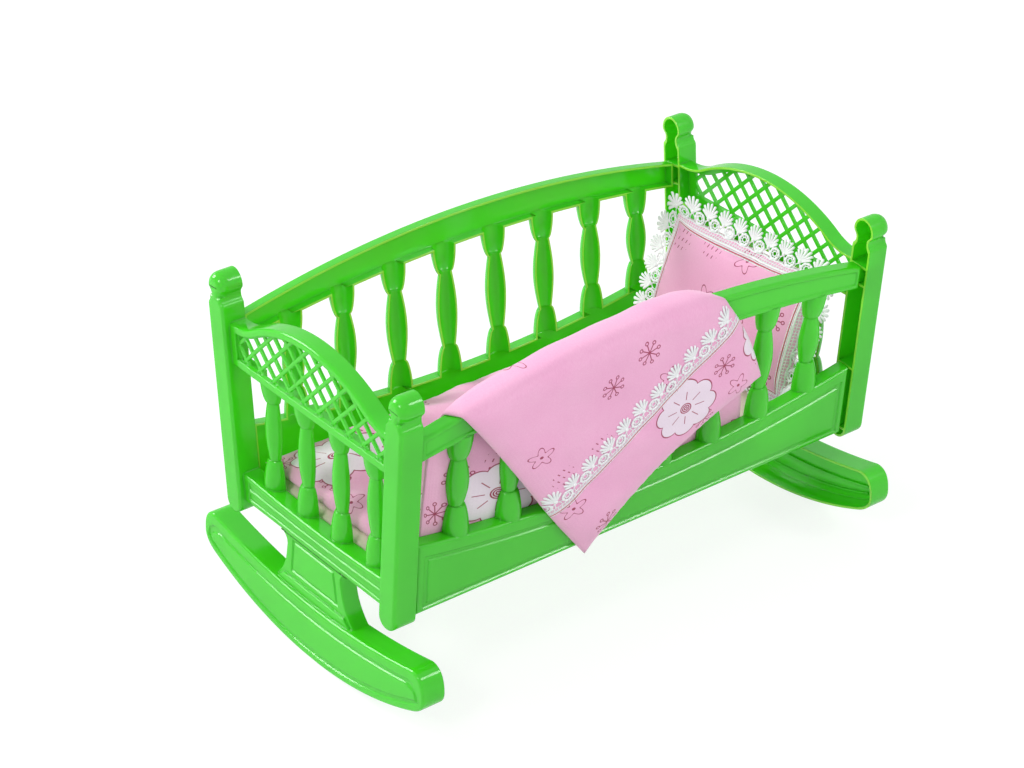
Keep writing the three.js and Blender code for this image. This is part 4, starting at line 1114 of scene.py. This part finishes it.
def blanket_top(across, along, run, x):
    """How high the quilted face stands off the cover's back."""
    side = min(across, blanket_width - across)
    end = min(along, blanket_length - along)
    puff = seam_share(side, blanket_puff_edge) * seam_share(end, blanket_puff_edge)
    inside = min(1, max(0, (run - crest) / 0.03))
    fold = (0.0004 + 0.0014 * inside) * math.sin(2 * math.pi * (run + x / 2) / 0.058)
    bunched = inside * 0.0045 * wave(x * 60, run * 50, 1.3) + 0.0010 * wave(across * 55, along * 48, 0.4)
    pucker = 0.0003 * math.sin(along * 900 + 6 * wave(across * 40, along * 60, 2)) * math.exp(-side / 0.007)
    pucker += 0.0003 * math.sin(across * 800 + 5 * wave(across * 50, along * 30, 5)) * math.exp(-end / 0.007)
    seam_way = lace_seam_way + lace_slant * across / blanket_width
    sewn = 0.0012 * math.exp(-((along - seam_way) / 0.004) ** 2)
    puff *= 1 - 0.5 * (1 - across / blanket_width) * math.exp(-((run - crest) / 0.015) ** 2)
    return blanket_seam + puff * (blanket_puff + fold + bunched - sewn) + pucker * min(1, 3 * puff + 0.3)


def blanket_face(rise):
    """One face of the cover, raised off its back by that function."""
    def face(u, v):
        across = u * blanket_width
        to_crest = way_to_crest(across)
        past = v - blanket_crest_share
        if past < 0:
            along = to_crest * v / blanket_crest_share
        else:
            along = to_crest + (blanket_length - to_crest) * past / (1 - blanket_crest_share)
        return blanket_point(across, along, rise), (across, along)

    return face


blanket = grid_mesh("blanket_cover", [blanket_face(blanket_top), blanket_face(lambda *_: 0)], 72, 200)
blanket.data.materials.append(pink_print)
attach(blanket, "blanket")
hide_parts("blanket")


# Blanket lace. The same lace, sewn across the cover near its hanging end with its fans pointing
# away from that end.
blanket_lace_length = 180.0


def blanket_lace_place(s, t, h):
    """A place on the cover's lace: s along its seam, t out from it and h off the cloth."""
    along = lace_way + lace_slant * s / blanket_lace_length + t / 1000
    return blanket_point(s / 1000, along, lambda *spot: blanket_top(*spot) + h / 1000 - 0.0001)


blanket_lace = laid_lace("blanket_lace_trim", blanket_lace_length, 11, blanket_lace_place)
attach(blanket_lace, "blanket")
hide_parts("blanket_lace")


# Floor, light and camera. A pale studio floor and soft lamps, and the camera where the
# photograph was taken from.
floor_half = 6
floor_mesh = bpy.data.meshes.new("studio_floor")
floor_corners = [(x * floor_half, y * floor_half, 0) for x, y in ((-1, -1), (1, -1), (1, 1), (-1, 1))]
floor_mesh.from_pydata(floor_corners, [], [(0, 1, 2, 3)])
floor = placed("studio_floor", floor_mesh)


def seen(wire):
    """1 for a ray that the camera or a shiny surface sends, so that both see the white studio."""
    path = wire.node("ShaderNodeLightPath", {}, {})
    rays = path.socket.node.outputs
    return Wire(wire.tree, rays["Is Camera Ray"]).most(Wire(wire.tree, rays["Is Glossy Ray"])).most(
        Wire(wire.tree, rays["Is Transmission Ray"]))


white = (1, 1, 1, 1)
paper, wire = new_finish("floor_paper")
matt = wire.node("ShaderNodeBsdfDiffuse", {}, {"Color": (0.9, 0.9, 0.9, 1)})
glow = wire.node("ShaderNodeEmission", {}, {"Color": white, "Strength": 1.14})
floor.data.materials.append(surfaced(paper, wire.node("ShaderNodeMixShader", {}, {
    0: seen(wire) * 0.72, 1: matt, 2: glow})))

world = bpy.data.worlds.new("studio")
bpy.context.scene.world = world
world.use_nodes = True
world.node_tree.nodes.clear()
wire = Wire(world.node_tree)
room = wire.node("ShaderNodeBackground", {}, {"Color": white, "Strength": 0.62})
backdrop = wire.node("ShaderNodeBackground", {}, {"Color": white, "Strength": 1.0})
wire.node("ShaderNodeOutputWorld", {}, {"Surface": wire.node("ShaderNodeMixShader", {}, {
    0: seen(wire), 1: room, 2: backdrop})})


lamp_aim = Vector((0, 0, 0.12))


def lamp(name, place, size, power):
    """A round soft lamp that points at the cradle."""
    light = bpy.data.lights.new(name, "AREA")
    light.shape, light.size, light.energy = "DISK", size, power
    made = placed(name, light)
    made.location = place
    made.rotation_mode = "QUATERNION"
    made.rotation_quaternion = (lamp_aim - Vector(place)).to_track_quat("-Z", "Y")


lamp("key", (-2.1, -0.7, 1.9), 0.7, 17)
lamp("fill", (1.3, -1.6, 1.7), 0.7, 15)
lamp("back", (-1.2, 1.9, 1.4), 1.2, 44)

lens = bpy.data.cameras.new("camera")
lens.sensor_width, lens.lens = 36, 104.37
lens.clip_start, lens.clip_end = 0.1, 20
camera = placed("camera", lens)
camera.location = (-1.1527, -1.4242, 1.2236)
toward = Vector((-0.028314, 0.010902, 0.152348)) - camera.location
camera.rotation_mode = "QUATERNION"
camera.rotation_quaternion = toward.to_track_quat("-Z", "Y") @ Quaternion((0, 0, 1), math.radians(0.374))
bpy.context.scene.camera = camera
bpy.context.scene.view_settings.view_transform = "Standard"
